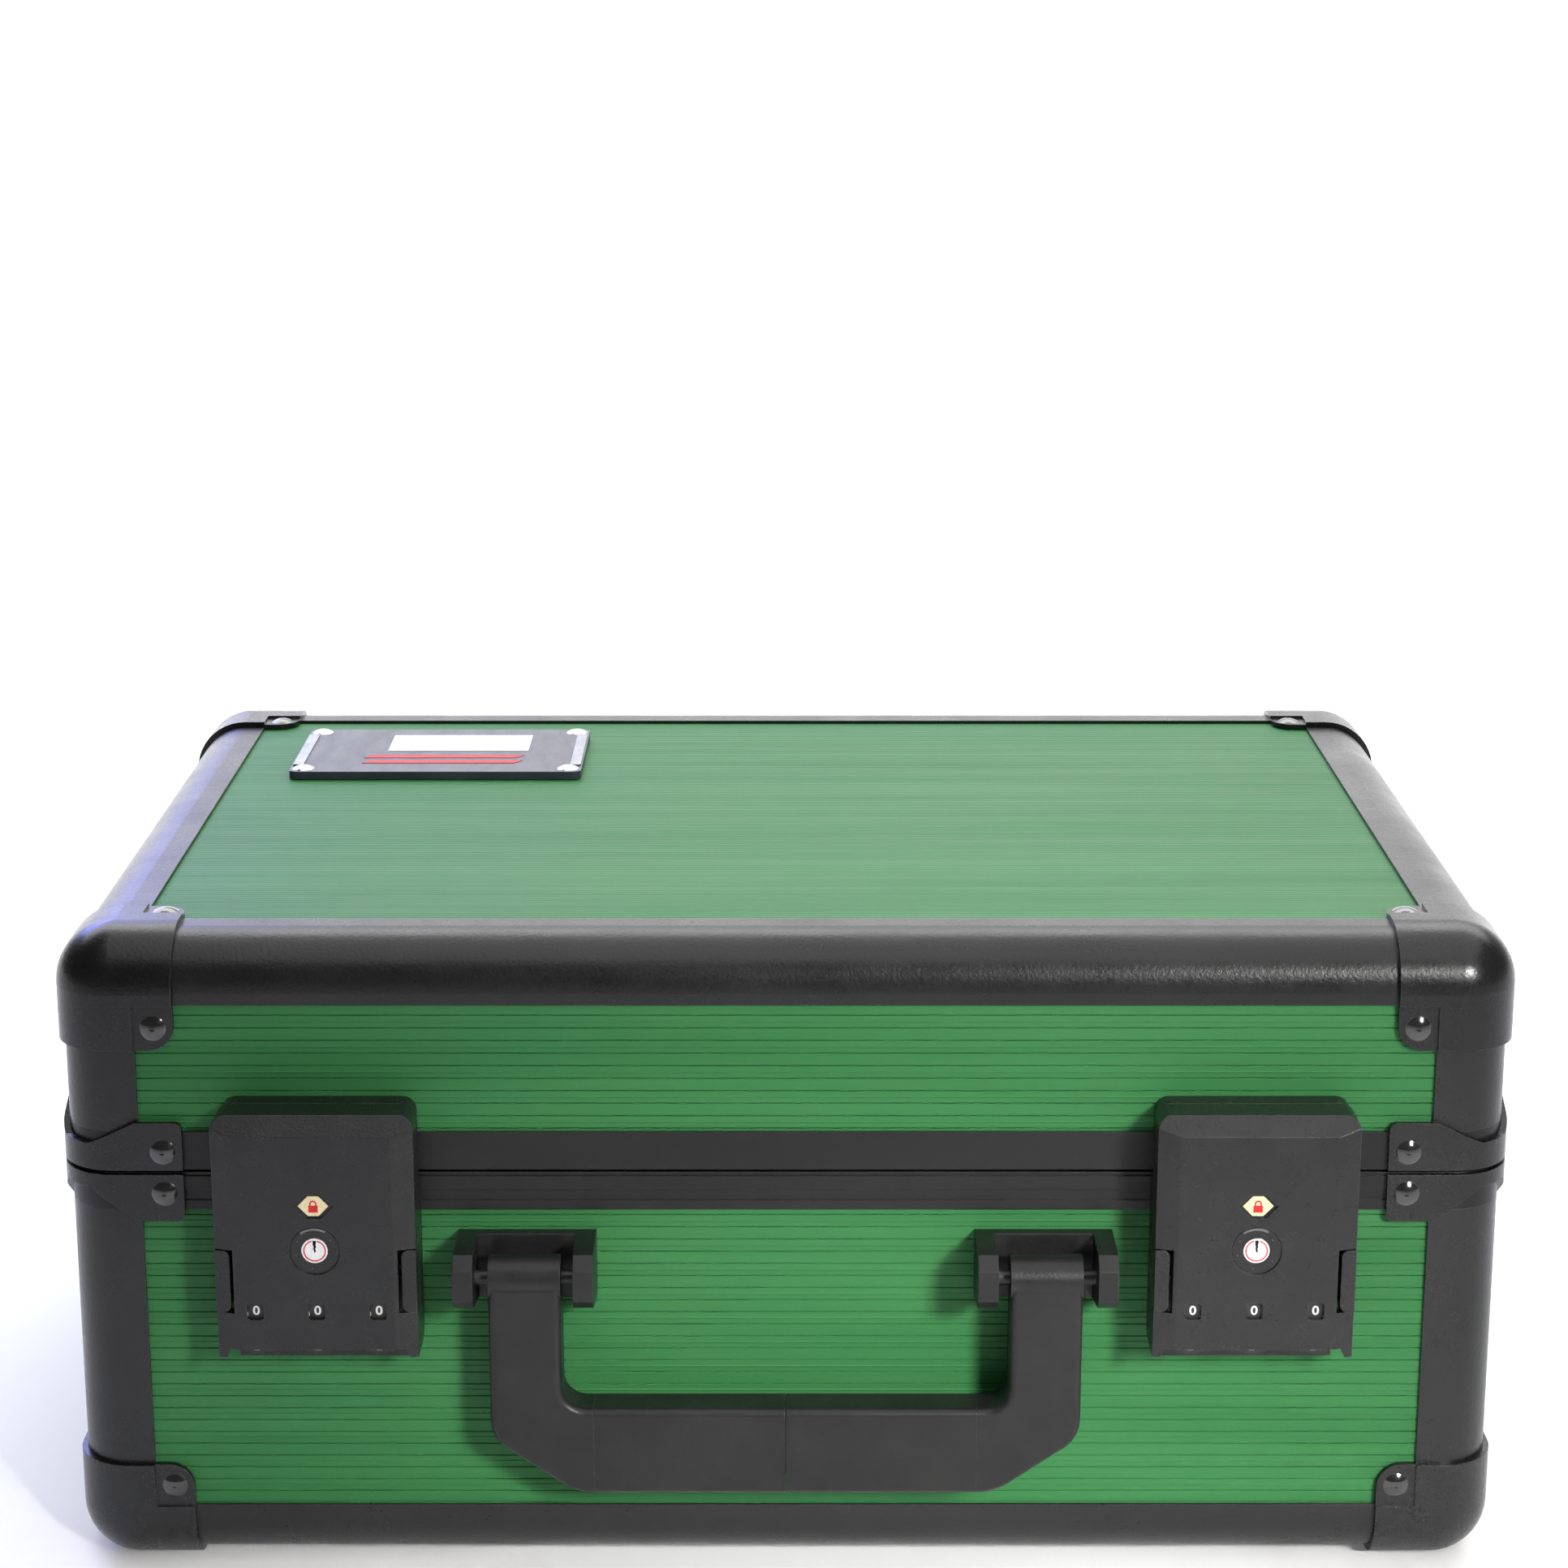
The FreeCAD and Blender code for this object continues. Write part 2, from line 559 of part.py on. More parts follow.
def rail_pieces():
    """Long, side and corner rails of the lid and the base."""
    middle = f"({BOTTOM} + {TOP}) / 2"
    inward_y = rail_outline(lambda a: f"{FRONT} + {a}", lambda b: f"{TOP} - {b}", "rail_drop")
    long_rail = Piece("long_rail")
    long_rail.outline("YZ_Plane", inward_y, f"{LEFT} + rail_cut", f"{RIGHT} - rail_cut")
    long_rail.fillet("rail_radius", "x", y="low", z="high")
    inward_x = rail_outline(lambda a: f"{LEFT} + {a}", lambda b: f"{TOP} - {b}", "rail_drop")
    side_rail = Piece("side_rail")
    side_rail.outline("XZ_Plane", inward_x, f"{FRONT} + rail_cut", f"{REAR} - rail_cut")
    side_rail.fillet("rail_radius", "y", x="low", z="high")
    long_pair = [long_rail.body, mirrored(long_rail.body, "y")]
    side_pair = [side_rail.body, mirrored(side_rail.body, "x")]
    finish(group("lid_long_rails", *long_pair))
    finish(group("lid_side_rails", *side_pair))
    finish(group("base_long_rails", *(mirrored(rail, "z", middle) for rail in long_pair)))
    finish(group("base_side_rails", *(mirrored(rail, "z", middle) for rail in side_pair)))
    section = rail_outline(lambda a: f"{LEFT} + {a}", lambda b: f"{FRONT} + {b}", "rail_leg")
    for prefix, low, high in (("lid", LID_BAND, f"{TOP} - rail_cut"),
                              ("base", f"{BOTTOM} + rail_cut", BASE_BAND)):
        corner = Piece(f"{prefix}_corner_rail")
        corner.outline("XY_Plane", section, low, high)
        corner.fillet("rail_radius", "z", x="low", y="low")
        finish(group(f"{prefix}_corner_rails", *four_ways(corner.body)))


def frame_ring(piece, low, high):
    """A rounded rectangular ring, the blank of a parting frame."""
    wall = "frame_wall"
    piece.box((LEFT, RIGHT), (FRONT, REAR), (low, high))
    piece.fillet("rail_radius", "z", x="ends", y="ends")
    piece.box((f"{LEFT} + {wall}", f"{RIGHT} - {wall}"),
              (f"{FRONT} + {wall}", f"{REAR} - {wall}"), (low, high), cut=True)
    piece.fillet(f"rail_radius - {wall}", "z", x="inside", y="inside")


def frame_slots(piece, low, high):
    """Slots in a frame for the edges of the four upright panels."""
    skin = ("lip", PANEL_IN)
    across = (f"{LEFT} + panel_setback", f"{RIGHT} - panel_setback")
    along = (f"{FRONT} + panel_setback", f"{REAR} - panel_setback")
    piece.box(across, (f"{FRONT} + {skin[0]}", f"{FRONT} + {skin[1]}"), (low, high), cut=True)
    piece.box(across, (f"{REAR} - {skin[1]}", f"{REAR} - {skin[0]}"), (low, high), cut=True)
    piece.box((f"{LEFT} + {skin[0]}", f"{LEFT} + {skin[1]}"), along, (low, high), cut=True)
    piece.box((f"{RIGHT} - {skin[1]}", f"{RIGHT} - {skin[0]}"), along, (low, high), cut=True)


def frame_lines(piece, inset, width, low, high, stop, cut):
    """Four straight strips round a frame, each inset from a face and stopped short."""
    across = (f"{LEFT} + {stop}", f"{RIGHT} - {stop}")
    along = (f"{FRONT} + {stop}", f"{REAR} - {stop}")
    near = (f"{inset}", f"{inset} + {width}")
    piece.box(across, (f"{FRONT} + {near[0]}", f"{FRONT} + {near[1]}"), (low, high), cut)
    piece.box(across, (f"{REAR} - ({near[1]})", f"{REAR} - ({near[0]})"), (low, high), cut)
    piece.box((f"{LEFT} + {near[0]}", f"{LEFT} + {near[1]}"), along, (low, high), cut)
    piece.box((f"{RIGHT} - ({near[1]})", f"{RIGHT} - ({near[0]})"), along, (low, high), cut)


def frame_pieces(lid_holes, base_holes):
    """The two parting frames: plain on the lid, grooved and tongued on the base."""
    lid = Piece("lid_frame")
    frame_ring(lid, LID_EDGE, LID_BAND)
    frame_slots(lid, f"{LID_BAND} - panel_grip", LID_BAND)
    play = "tongue_play"
    frame_lines(lid, f"(tongue_inset - {play})", f"(tongue_width + 2 * {play})", LID_EDGE,
                f"{LID_EDGE} + tongue_height", f"(tongue_inset - {play})", True)
    finish(drilled("lid_frame", lid.body, lid_holes))
    base = Piece("base_frame")
    frame_ring(base, BASE_BAND, BASE_EDGE)
    frame_slots(base, BASE_BAND, f"{BASE_BAND} + panel_grip")
    frame_lines(base, "0", "groove_depth", f"{BASE_BAND} + groove_rise",
                f"{BASE_BAND} + groove_rise + groove_height", "rail_radius", True)
    frame_lines(base, "0", "rebate_depth", f"{BASE_EDGE} - bead_height - rebate_height",
                f"{BASE_EDGE} - bead_height", "rail_radius", True)
    frame_lines(base, "tongue_inset", "tongue_width", BASE_EDGE,
                f"{BASE_EDGE} + tongue_height", "rail_radius", False)
    finish(drilled("base_frame", base.body, base_holes))


def cap_solid():
    """The ball corner as a thin shell, cut from rounded blocks of the case's own form."""
    width, depth = size["cap_reach_x"], size["cap_reach"]
    armour, lip = size["armour"], size["lip"]
    origin = Vector(-half_width, -half_depth, high_plane - depth)

    def rounded(grow, radius):
        block = Part.makeBox(width + grow, depth + grow, depth + grow, origin - Vector(grow, grow, 0))
        box = block.BoundBox
        edges = [edge for edge in block.Edges if touches(edge, box)]
        return block.makeFillet(radius, edges)

    def touches(edge, box):
        middle = edge.CenterOfMass
        flags = (abs(middle.x - box.XMin) < 1e-6, abs(middle.y - box.YMin) < 1e-6,
                 abs(middle.z - box.ZMax) < 1e-6)
        return sum(flags) == 2

    shell = rounded(armour, size["rail_radius"] + armour).cut(rounded(0, size["rail_radius"]))
    return shell, origin, width, depth, armour, lip


def ball_corner_shape():
    """Shell with its ears stepped down on to the panels and their corners rounded."""
    shell, origin, width, depth, armour, lip = cap_solid()
    leg, drop = size["rail_leg"], size["rail_drop"]
    top = Vector(-half_width, -half_depth, high_plane)
    far = 2 * width
    ears = (
        (Vector(leg, -armour, -far), Vector(far, armour, far - drop), Vector(0, lip, 0)),
        (Vector(-armour, leg, -far), Vector(armour, far, far - drop), Vector(lip, 0, 0)),
        (Vector(leg, leg, 0), Vector(far, far, armour), Vector(0, 0, -lip)),
    )
    for low, span, step in ears:
        block = Part.makeBox(span.x, span.y, span.z, top + low)
        ear = shell.common(block)
        shell = shell.cut(block)
        moved = ear.copy()
        moved.translate(step)
        shell = shell.fuse(moved)
    shell = shell.removeSplitter()
    low_z = high_plane - depth
    round_ends = (
        (lambda p: abs(p.x - (origin.x + width)) + abs(p.z - low_z), "y"),
        (lambda p: abs(p.y - (origin.y + depth)) + abs(p.z - low_z), "x"),
        (lambda p: abs(p.x - (origin.x + width)) + abs(p.y - (origin.y + depth)), "z"),
    )
    edges = []
    for distance, axis in round_ends:
        for edge in shell.Edges:
            ends = [vertex.Point for vertex in edge.Vertexes]
            if len(ends) == 2 and all(distance(point) < 1e-4 for point in ends):
                edges.append(edge)
    return shell.makeFillet(size["cap_round"], edges)


def cap_pieces(lid_holes, base_holes):
    """Eight ball corners, four on the lid and four on the base."""
    middle = f"({BOTTOM} + {TOP}) / 2"
    corner = feature("ball_corner", ball_corner_shape())
    lid_corners = four_ways(corner)
    base_corners = [mirrored(item, "z", middle) for item in lid_corners]
    finish(drilled("lid_ball_corners", group("lid_caps", *lid_corners), lid_holes))
    finish(drilled("base_ball_corners", group("base_caps", *base_corners), base_holes))


def waist_bracket(label, edge, up, tall, neck):
    """A strap round the corner at the parting, with an ear on each face."""
    def at(height):
        return f"{edge} + {height}" if up > 0 else f"{edge} - ({height})"

    bracket = Piece(label)
    ends = (at("waist_gap"), at(tall))
    heights = ends if up > 0 else ends[::-1]
    reach_x = (f"{LEFT} - armour", f"{LEFT} + waist_reach")
    reach_y = (f"{FRONT} - armour", f"{FRONT} + waist_reach")
    bracket.box(reach_x, reach_y, heights)
    bracket.box((LEFT, reach_x[1]), (FRONT, reach_y[1]), heights, cut=True)
    bracket.fillet("rail_radius", "z", x="inside", y="inside")
    bracket.fillet("rail_radius + armour", "z", x="low", y="low")
    free = "high" if up > 0 else "low"
    bracket.fillet("waist_round", "y", x="high", z=free)
    bracket.fillet("waist_round", "x", y="high", z=free)
    over = f"2 * {tall}"
    flat_to = "rail_radius / 2"

    def slope(zero):
        corners = (("0 - 2 * armour", neck), (flat_to, neck), ("waist_shoulder", tall),
                   ("waist_shoulder", over), ("0 - 2 * armour", over))
        return [(f"{zero} + {a}", at(b)) for a, b in corners]

    bracket.outline("XZ_Plane", slope(LEFT), f"{FRONT} - 2 * armour", f"{FRONT} + {flat_to}",
                    cut=True)
    bracket.outline("YZ_Plane", slope(FRONT), f"{LEFT} - 2 * armour", f"{LEFT} + {flat_to}",
                    cut=True)
    return bracket.body


def waist_pieces(lid_holes, base_holes):
    """Four waist brackets on the lid and four on the base."""
    lid = waist_bracket("lid_waist_bracket", LID_EDGE, 1, "lid_waist_tall", "lid_waist_neck")
    base = waist_bracket("base_waist_bracket", BASE_EDGE, -1, "base_waist_tall",
                         "base_waist_neck")
    finish(drilled("lid_waist_brackets", group("lid_waists", *four_ways(lid)), lid_holes))
    finish(drilled("base_waist_brackets", group("base_waists", *four_ways(base)), base_holes))


def foam_pieces():
    """Foam on the base floor, round the base walls and under the lid."""
    across = (f"{LEFT} + {FOAM_IN}", f"{RIGHT} - {FOAM_IN}")
    along = (f"{FRONT} + {FOAM_IN}", f"{REAR} - {FOAM_IN}")
    floor = f"{BOTTOM} + {FOAM_IN}"
    Piece("base_foam").box(across, along, (floor, f"{floor} + foam_floor")).node()
    heights = (f"{floor} + foam_floor + foam_seam", f"{PARTING} - foam_top_room")
    end_wall = Piece("end_wall").box((across[0], f"{across[0]} + foam_wall"), along, heights)
    end_wall.fillet(f"rail_radius - {FOAM_IN} + foam_seam", "z", x="low", y="ends")
    between = (f"{across[0]} + foam_wall + foam_seam", f"{across[1]} - foam_wall - foam_seam")
    long_wall = Piece("long_wall").box(between, (along[0], f"{along[0]} + foam_wall"), heights)
    finish(group("wall_foam", end_wall.body, mirrored(end_wall.body, "x"),
                 long_wall.body, mirrored(long_wall.body, "y")))
    ceiling = f"{TOP} - {PANEL_IN} - foam_gap"
    Piece("lid_foam").box(across, along, (f"{ceiling} - lid_foam_depth", ceiling)).node()


def name_plate_pieces():
    """A blank plate on the lid and the four domed screws that hold it."""
    seat = f"({TOP} - lip)"
    low_x = f"({LEFT} + plate_left)"
    high_y = f"({REAR} - plate_back)"
    plate = Piece("name_plate")
    plate.box((low_x, f"{low_x} + plate_width"), (f"{high_y} - plate_depth", high_y),
              (seat, f"{seat} + plate_thickness"))
    plate.fillet("plate_round", "z", x="ends", y="ends")
    left = size["plate_left"] - half_width
    back = half_depth - size["plate_back"]
    inset = size["plate_screw_inset"]
    top = high_plane - size["lip"] + size["plate_thickness"]
    screws = []
    holes = []
    for x in (left + inset, left + size["plate_width"] - inset):
        for y in (back - inset, back - size["plate_depth"] + inset):
            screws.append(plate_screw(Vector(x, y, top)))
            radius = size["plate_screw_shank"] + size["rivet_play"]
            holes.append(Part.makeCylinder(radius, 3 * size["plate_thickness"],
                                           Vector(x, y, top - 2 * size["plate_thickness"])))
    tools = feature("plate_holes", Part.makeCompound(holes))
    finish(drilled("name_plate", plate.body, tools))
    finish(feature("name_plate_screws", Part.makeCompound(screws)))
    return tools


def plate_screw(seat):
    """A domed screw head with a short shank through the plate into the panel."""
    head, dome = size["plate_screw_head"], size["plate_screw_dome"]
    length = size["plate_screw_length"]
    curve = (head ** 2 + dome ** 2) / (2 * dome)
    ball = Part.makeSphere(curve, Vector(0, 0, dome - curve))
    solid = ball.common(Part.makeCylinder(head + 1, dome + 1))
    shank = Part.makeCylinder(size["plate_screw_shank"], length, Vector(0, 0, -length))
    solid = solid.fuse(shank).removeSplitter()
    solid.translate(seat)
    return solid


# ---------------------------------------------------------------- handle
def handle_bracket():
    """Left handle bracket: a back plate with two chamfered ears."""
    middle = "(-handle_half)"
    low = "(handle_pivot_rise - bracket_below)"
    high = "(handle_pivot_rise + bracket_above)"
    sides = (f"{middle} - bracket_width / 2", f"{middle} + bracket_width / 2")
    bracket = Piece("handle_bracket")
    seat = f"{FRONT} + lip"
    bracket.box(sides, (f"{seat} - bracket_plate", seat), (low, high))
    front = f"({FRONT} - ear_reach)"
    ear = (
        (seat, low), (f"{seat} - bracket_plate", low),
        (f"{front} + ear_lower_chamfer", f"{low} + ear_chamfer"),
        (front, f"{low} + ear_chamfer + ear_lower_chamfer"),
        (front, f"{high} - ear_chamfer"), (f"{front} + ear_chamfer", high), (seat, high),
    )
    for low_x, high_x in ((sides[0], f"{sides[0]} + ear_width"),
                          (f"{sides[1]} - ear_width", sides[1])):
        bracket.outline("YZ_Plane", ear, low_x, high_x)
    bracket.rod("x", (sides[0], HANDLE_Y, "handle_pivot_rise"),
                "handle_pin_radius + fixed_play", "bracket_width", cut=True)
    return bracket.body


def bracket_rivets():
    """Rivets through the back plates of the handle brackets, from inside the base."""
    rivets = Rivets("handle_bracket_rivets")
    reach = size["bracket_rivet_pitch"] / 2
    seat = -half_depth + size["lip"] - size["bracket_plate"]
    for side in (-1, 1):
        for dx in (-reach, reach):
            point = Vector(side * size["handle_half"] + dx, seat, size["handle_pivot_rise"])
            rivets.add(point, Vector(0, -1, 0), size["bracket_plate"] + size["panel_thickness"],
                       size["low_rivet_dome"])
    return rivets


def handle_pieces(holes):
    """Brackets, pins, the U-shaped frame and the sleeve that is gripped."""
    left = handle_bracket()
    pair = group("bracket_pair", left, mirrored(left, "x"))
    finish(drilled("handle_brackets", pair, holes))
    pin = Piece("handle_pin")
    pin.rod("x", ("-handle_half - bracket_width / 2", HANDLE_Y, "handle_pivot_rise"),
            "handle_pin_radius", "bracket_width")
    finish(group("handle_pins", pin.body, mirrored(pin.body, "x")))
    handle_frame()
    handle_grip()


def handle_frame():
    """Two arms joined by bent corners and a core that runs through the grip."""
    thick = (f"{HANDLE_Y} - arm_thickness / 2", f"{HANDLE_Y} + arm_thickness / 2")
    outer = "(handle_half + arm_width / 2)"
    inner = "(handle_half - arm_width / 2)"
    low = "(grip_top - grip_height)"
    arm = Piece("handle_arm")
    corners = (
        (f"-{outer}", "handle_pivot_rise"), (f"-{outer}", f"{low} + slant_height"),
        (f"-{outer} + slant_width", low), ("-grip_half", low), ("-grip_half", "grip_top"),
        (f"-{inner}", "grip_top"), (f"-{inner}", "handle_pivot_rise"),
    )
    arm.outline("XZ_Plane", corners, *thick)
    arm.fillet("slant_upper_bend", "y", x="low", z="inside")
    arm.fillet("slant_lower_bend", "y", x="inside", z="low")
    arm.fillet("handle_inner_bend", "y", x="inside", z="inside")
    arm.round_rim("handle_edge", "y", "x")
    arm.rod("x", (f"-{outer}", HANDLE_Y, "handle_pivot_rise"), "arm_thickness / 2", "arm_width")
    arm.rod("x", (f"-{outer}", HANDLE_Y, "handle_pivot_rise"),
            "handle_pin_radius + running_play", "arm_width", cut=True)
    core_z = "(grip_top - grip_height / 2)"
    arm.box(("-grip_half - 1", "0"),
            (f"{HANDLE_Y} - core_thickness / 2", f"{HANDLE_Y} + core_thickness / 2"),
            (f"{core_z} - core_height / 2", f"{core_z} + core_height / 2"))
    both = doc.addObject("Part::Fuse", "handle_frame")
    both.Label = "handle_frame"
    both.Base = arm.body
    both.Tool = mirrored(arm.body, "x")
    both.Refine = True
    finish(both)


def handle_grip():
    """Sleeve round the handle's core, in two halves that meet in the middle."""
    core_z = "(grip_top - grip_height / 2)"
    ends = ("-grip_half", "-grip_seam / 2")
    half = Piece("grip_sleeve")
    half.box(ends, (f"{HANDLE_Y} - arm_thickness / 2", f"{HANDLE_Y} + arm_thickness / 2"),
             ("grip_top - grip_height", "grip_top"))
    half.fillet("handle_edge", "x", y="ends", z="ends")
    half.box(ends, (f"{HANDLE_Y} - core_thickness / 2 - fixed_play",
                    f"{HANDLE_Y} + core_thickness / 2 + fixed_play"),
             (f"{core_z} - core_height / 2 - fixed_play",
              f"{core_z} + core_height / 2 + fixed_play"), cut=True)
    finish(group("handle_grip", half.body, mirrored(half.body, "x")))


# ---------------------------------------------------------------- rear hinges
def hinge_leaf(label, up, share):
    """Left rear hinge leaf, with knuckles at its own share of five places."""
    middle = "(-hinge_offset)"
    edge = f"{middle} - hinge_width / 2"
    leaf = Piece(label)
    clear = "(knuckle_radius + knuckle_gap)"

    def span(near, far):
        if up > 0:
            return (f"{PARTING} + {near}", f"{PARTING} + {far}")
        return (f"{PARTING} - {far}", f"{PARTING} - {near}")

    plate = (REAR, f"{REAR} + hinge_leaf")
    leaf.box((edge, f"{edge} + hinge_width"), plate, span(clear, "hinge_leaf_height"))
    free = "high" if up > 0 else "low"
    leaf.fillet("waist_round", "y", x="ends", z=free)
    for place in share:
        low_x = f"({edge} + {place} * hinge_width / 5 + knuckle_gap / 2)"
        width = "(hinge_width / 5 - knuckle_gap)"
        leaf.box((low_x, f"{low_x} + {width}"), (REAR, HINGE_Y), span("0", clear))
        leaf.rod("x", (low_x, HINGE_Y, PARTING), "knuckle_radius", width)
    play = "running_play" if up > 0 else "fixed_play"
    leaf.rod("x", (edge, HINGE_Y, PARTING), f"hinge_pin_radius + {play}", "hinge_width", cut=True)
    return leaf.body


def hinge_rivets(label, up):
    """Rivets that hold two hinge leaves, a row in the frame and a row in the panel."""
    rivets = Rivets(label)
    start = half_depth + size["hinge_leaf"]
    spread = size["hinge_rivet_pitch"]
    row = size["parting_gap"] / 2 + size["frame_face"] / 2 + size["hinge_leaf"]
    for side in (-1, 1):
        for dx in (-spread, 0, spread):
            point = Vector(side * size["hinge_offset"] + dx, start, parting + up * row)
            rivets.add(point, Vector(0, 1, 0), size["hinge_leaf"] + size["frame_wall"],
                       size["rivet_dome"])
    return rivets


def hinge_pieces(lid_holes, base_holes):
    """Two hinges: lid leaves, base leaves and the pins that the base leaves hold."""
    lid = hinge_leaf("lid_hinge_leaf", 1, (1, 3))
    base = hinge_leaf("base_hinge_leaf", -1, (0, 2, 4))
    finish(drilled("lid_hinge_leaves", group("lid_leaves", lid, mirrored(lid, "x")), lid_holes))
    finish(drilled("base_hinge_leaves", group("base_leaves", base, mirrored(base, "x")),
                   base_holes))
    pin = Piece("hinge_pin")
    pin.rod("x", ("-hinge_offset - hinge_width / 2", HINGE_Y, PARTING), "hinge_pin_radius",
            "hinge_width")
    finish(group("hinge_pins", pin.body, mirrored(pin.body, "x")))


# ---------------------------------------------------------------- locks
COVER_INNER = "(cover_width / 2 - cover_wall)"
BUTTON_LOW = "(button_rise - button_height / 2)"
BUTTON_HIGH = "(button_rise + button_height / 2)"


def lock_base(name, x):
    """Plate on the base's front with two lugs for the cover's pivot pins."""
    base = Piece(f"{name}_base", x)
    low = "(cover_pivot_rise - lock_base_below)"
    half = f"({COVER_INNER} - lock_base_play)"
    sides = (f"-{half}", half)
    front = f"{FRONT} - lock_base_thickness"
    base.box(sides, (front, f"{FRONT} + lip"), (low, BASE_BAND))
    base.box(sides, (front, FRONT), (BASE_BAND, BASE_EDGE))
    outer = f"({COVER_INNER} - lug_gap)"
    for low_x, high_x in ((f"-{outer}", f"-{outer} + lug_width"),
                          (f"{outer} - lug_width", outer)):
        base.box((low_x, high_x), (COVER_Y, f"{front} + lock_base_thickness / 2"),
                 ("cover_pivot_rise - lug_radius", "cover_pivot_rise + lug_radius"))
        base.rod("x", (low_x, COVER_Y, "cover_pivot_rise"), "lug_radius", "lug_width")
    base.rod("x", (f"-{outer} - 1", COVER_Y, "cover_pivot_rise"),
             "lock_pin_radius + fixed_play", f"2 * {outer} + 2", cut=True)
    base.node()


def lock_pivots(name, x):
    """Two short pins, held in the lugs, that the cover turns on."""
    inner = f"({COVER_INNER} - lug_gap - lug_width)"
    length = f"(cover_width / 2 - {inner})"
    left = Piece(f"{name}_pivot_left").rod("x", ("-cover_width / 2", COVER_Y, "cover_pivot_rise"),
                                           "lock_pin_radius", length)
    pair = group(f"{name}_pivots", left.body, mirrored(left.body, "x"))
    finish(pair, x)


def lock_cover(name, x):
    """Hollow cover with bevels, cheeks, windows and seats for dials, plug and buttons."""
    cover = Piece(f"{name}_cover", x)
    half = "(cover_width / 2)"
    top = "cover_top_rise"
    face_low = f"({COVER_LOW} + face_lift)"
    cover.box((f"-{half}", half), (COVER_FRONT, COVER_BACK), (COVER_LOW, top))
    cover.fillet("cover_round", "y", x="ends", z="high")
    for column in DIAL_COLUMNS:
        cover.box((f"{column} - window_width / 2", f"{column} + window_width / 2"),
                  (f"{COVER_FRONT} - 1", f"{COVER_FRONT} + cover_skin + dial_play"),
                  ("window_rise - window_height / 2", "window_rise + window_height / 2"), cut=True)
    cover.fillet("window_round", "y", x="inside", z="inside")
    front, beyond = COVER_FRONT, f"{COVER_FRONT} - 1"
    bevel = ((beyond, f"{top} + 1"), (beyond, f"{top} - top_bevel_height"),
             (front, f"{top} - top_bevel_height"), (f"{front} + top_bevel_depth", top),
             (f"{front} + top_bevel_depth", f"{top} + 1"))
    cover.outline("YZ_Plane", bevel, f"-{half} - 1", f"{half} + 1", cut=True)
    for sign in ("-", ""):
        edge = f"{sign}{half}"
        inward = "+" if sign else "-"
        outward = "-" if sign else "+"
        side = ((f"{edge} {outward} 1", beyond), (f"{edge} {inward} side_bevel_width", beyond),
                (f"{edge} {inward} side_bevel_width", front),
                (edge, f"{front} + side_bevel_depth"),
                (f"{edge} {outward} 1", f"{front} + side_bevel_depth"))
        cover.outline("XY_Plane", side, f"{COVER_LOW} - 1", f"{top} + 1", cut=True)
    cover.box((f"-{COVER_INNER}", COVER_INNER), (COVER_IN, f"{COVER_BACK} + 1"),
              (f"{COVER_LOW} - 1", f"{top} - cover_wall"), cut=True)
    cover.box((f"-{half} - 1", f"{half} + 1"),
              (f"{FRONT} - keeper_thickness - cover_clear", f"{COVER_BACK} + 1"),
              (f"{BASE_EDGE} - cover_clear", f"{top} + 1"), cut=True)
    foot_x = f"({half} - foot_width)"
    foot = ((f"-{foot_x} - foot_width / 2", f"{COVER_LOW} - 1"), (f"-{foot_x}", face_low),
            (foot_x, face_low), (f"{foot_x} + foot_width / 2", f"{COVER_LOW} - 1"))
    cover.outline("XZ_Plane", foot, f"{COVER_FRONT} - 1", f"{COVER_IN} + 1", cut=True)
    cover.fillet("cheek_round", "x", y="high", z="low")
    for column in DIAL_COLUMNS:
        cover.rod("y", (column, f"{COVER_FRONT} + cover_skin", "dial_rise"),
                  f"{DIAL_RADIUS} + dial_play", "cover_face", cut=True)
        cover.rod("y", (column, f"{COVER_FRONT} + cover_skin / 2", "dial_rise"),
                  "spindle_radius", "cover_face")
    cover.rod("y", ("0", f"{COVER_FRONT} - 1", "plug_rise"), "collar_radius", "collar_depth + 1",
              cut=True)
    cover.rod("y", ("0", COVER_IN, "plug_rise"), "collar_radius", "plug_length - cover_face - 1")
    cover.rod("y", ("0", f"{COVER_FRONT} - 1", "plug_rise"), "plug_radius + running_play",
              "plug_length + 2", cut=True)
    slope = "emblem_point"
    hexagon = (("-emblem_width / 2", "emblem_rise"),
               (f"-emblem_width / 2 + {slope}", "emblem_rise - emblem_height / 2"),
               (f"emblem_width / 2 - {slope}", "emblem_rise - emblem_height / 2"),
               ("emblem_width / 2", "emblem_rise"),
               (f"emblem_width / 2 - {slope}", "emblem_rise + emblem_height / 2"),
               (f"-emblem_width / 2 + {slope}", "emblem_rise + emblem_height / 2"))
    cover.outline("XZ_Plane", hexagon, f"{COVER_FRONT} - 1", f"{COVER_FRONT} + emblem_depth",
                  cut=True)
    for sign in ("-", ""):
        edges = (f"{sign}({half} + 1)", f"{sign}({half} - button_width - button_travel - button_gap)")
        cover.box(edges if sign else edges[::-1],
                  (f"{COVER_FRONT} - 1", f"{COVER_FRONT} + button_depth + button_gap"),
                  (f"{BUTTON_LOW} - button_gap", f"{BUTTON_HIGH} + button_gap"), cut=True)
    cover.rod("x", (f"-{half} - 1", COVER_Y, "cover_pivot_rise"),
              "lock_pin_radius + running_play", f"2 * {half} + 2", cut=True)
    cover.node()


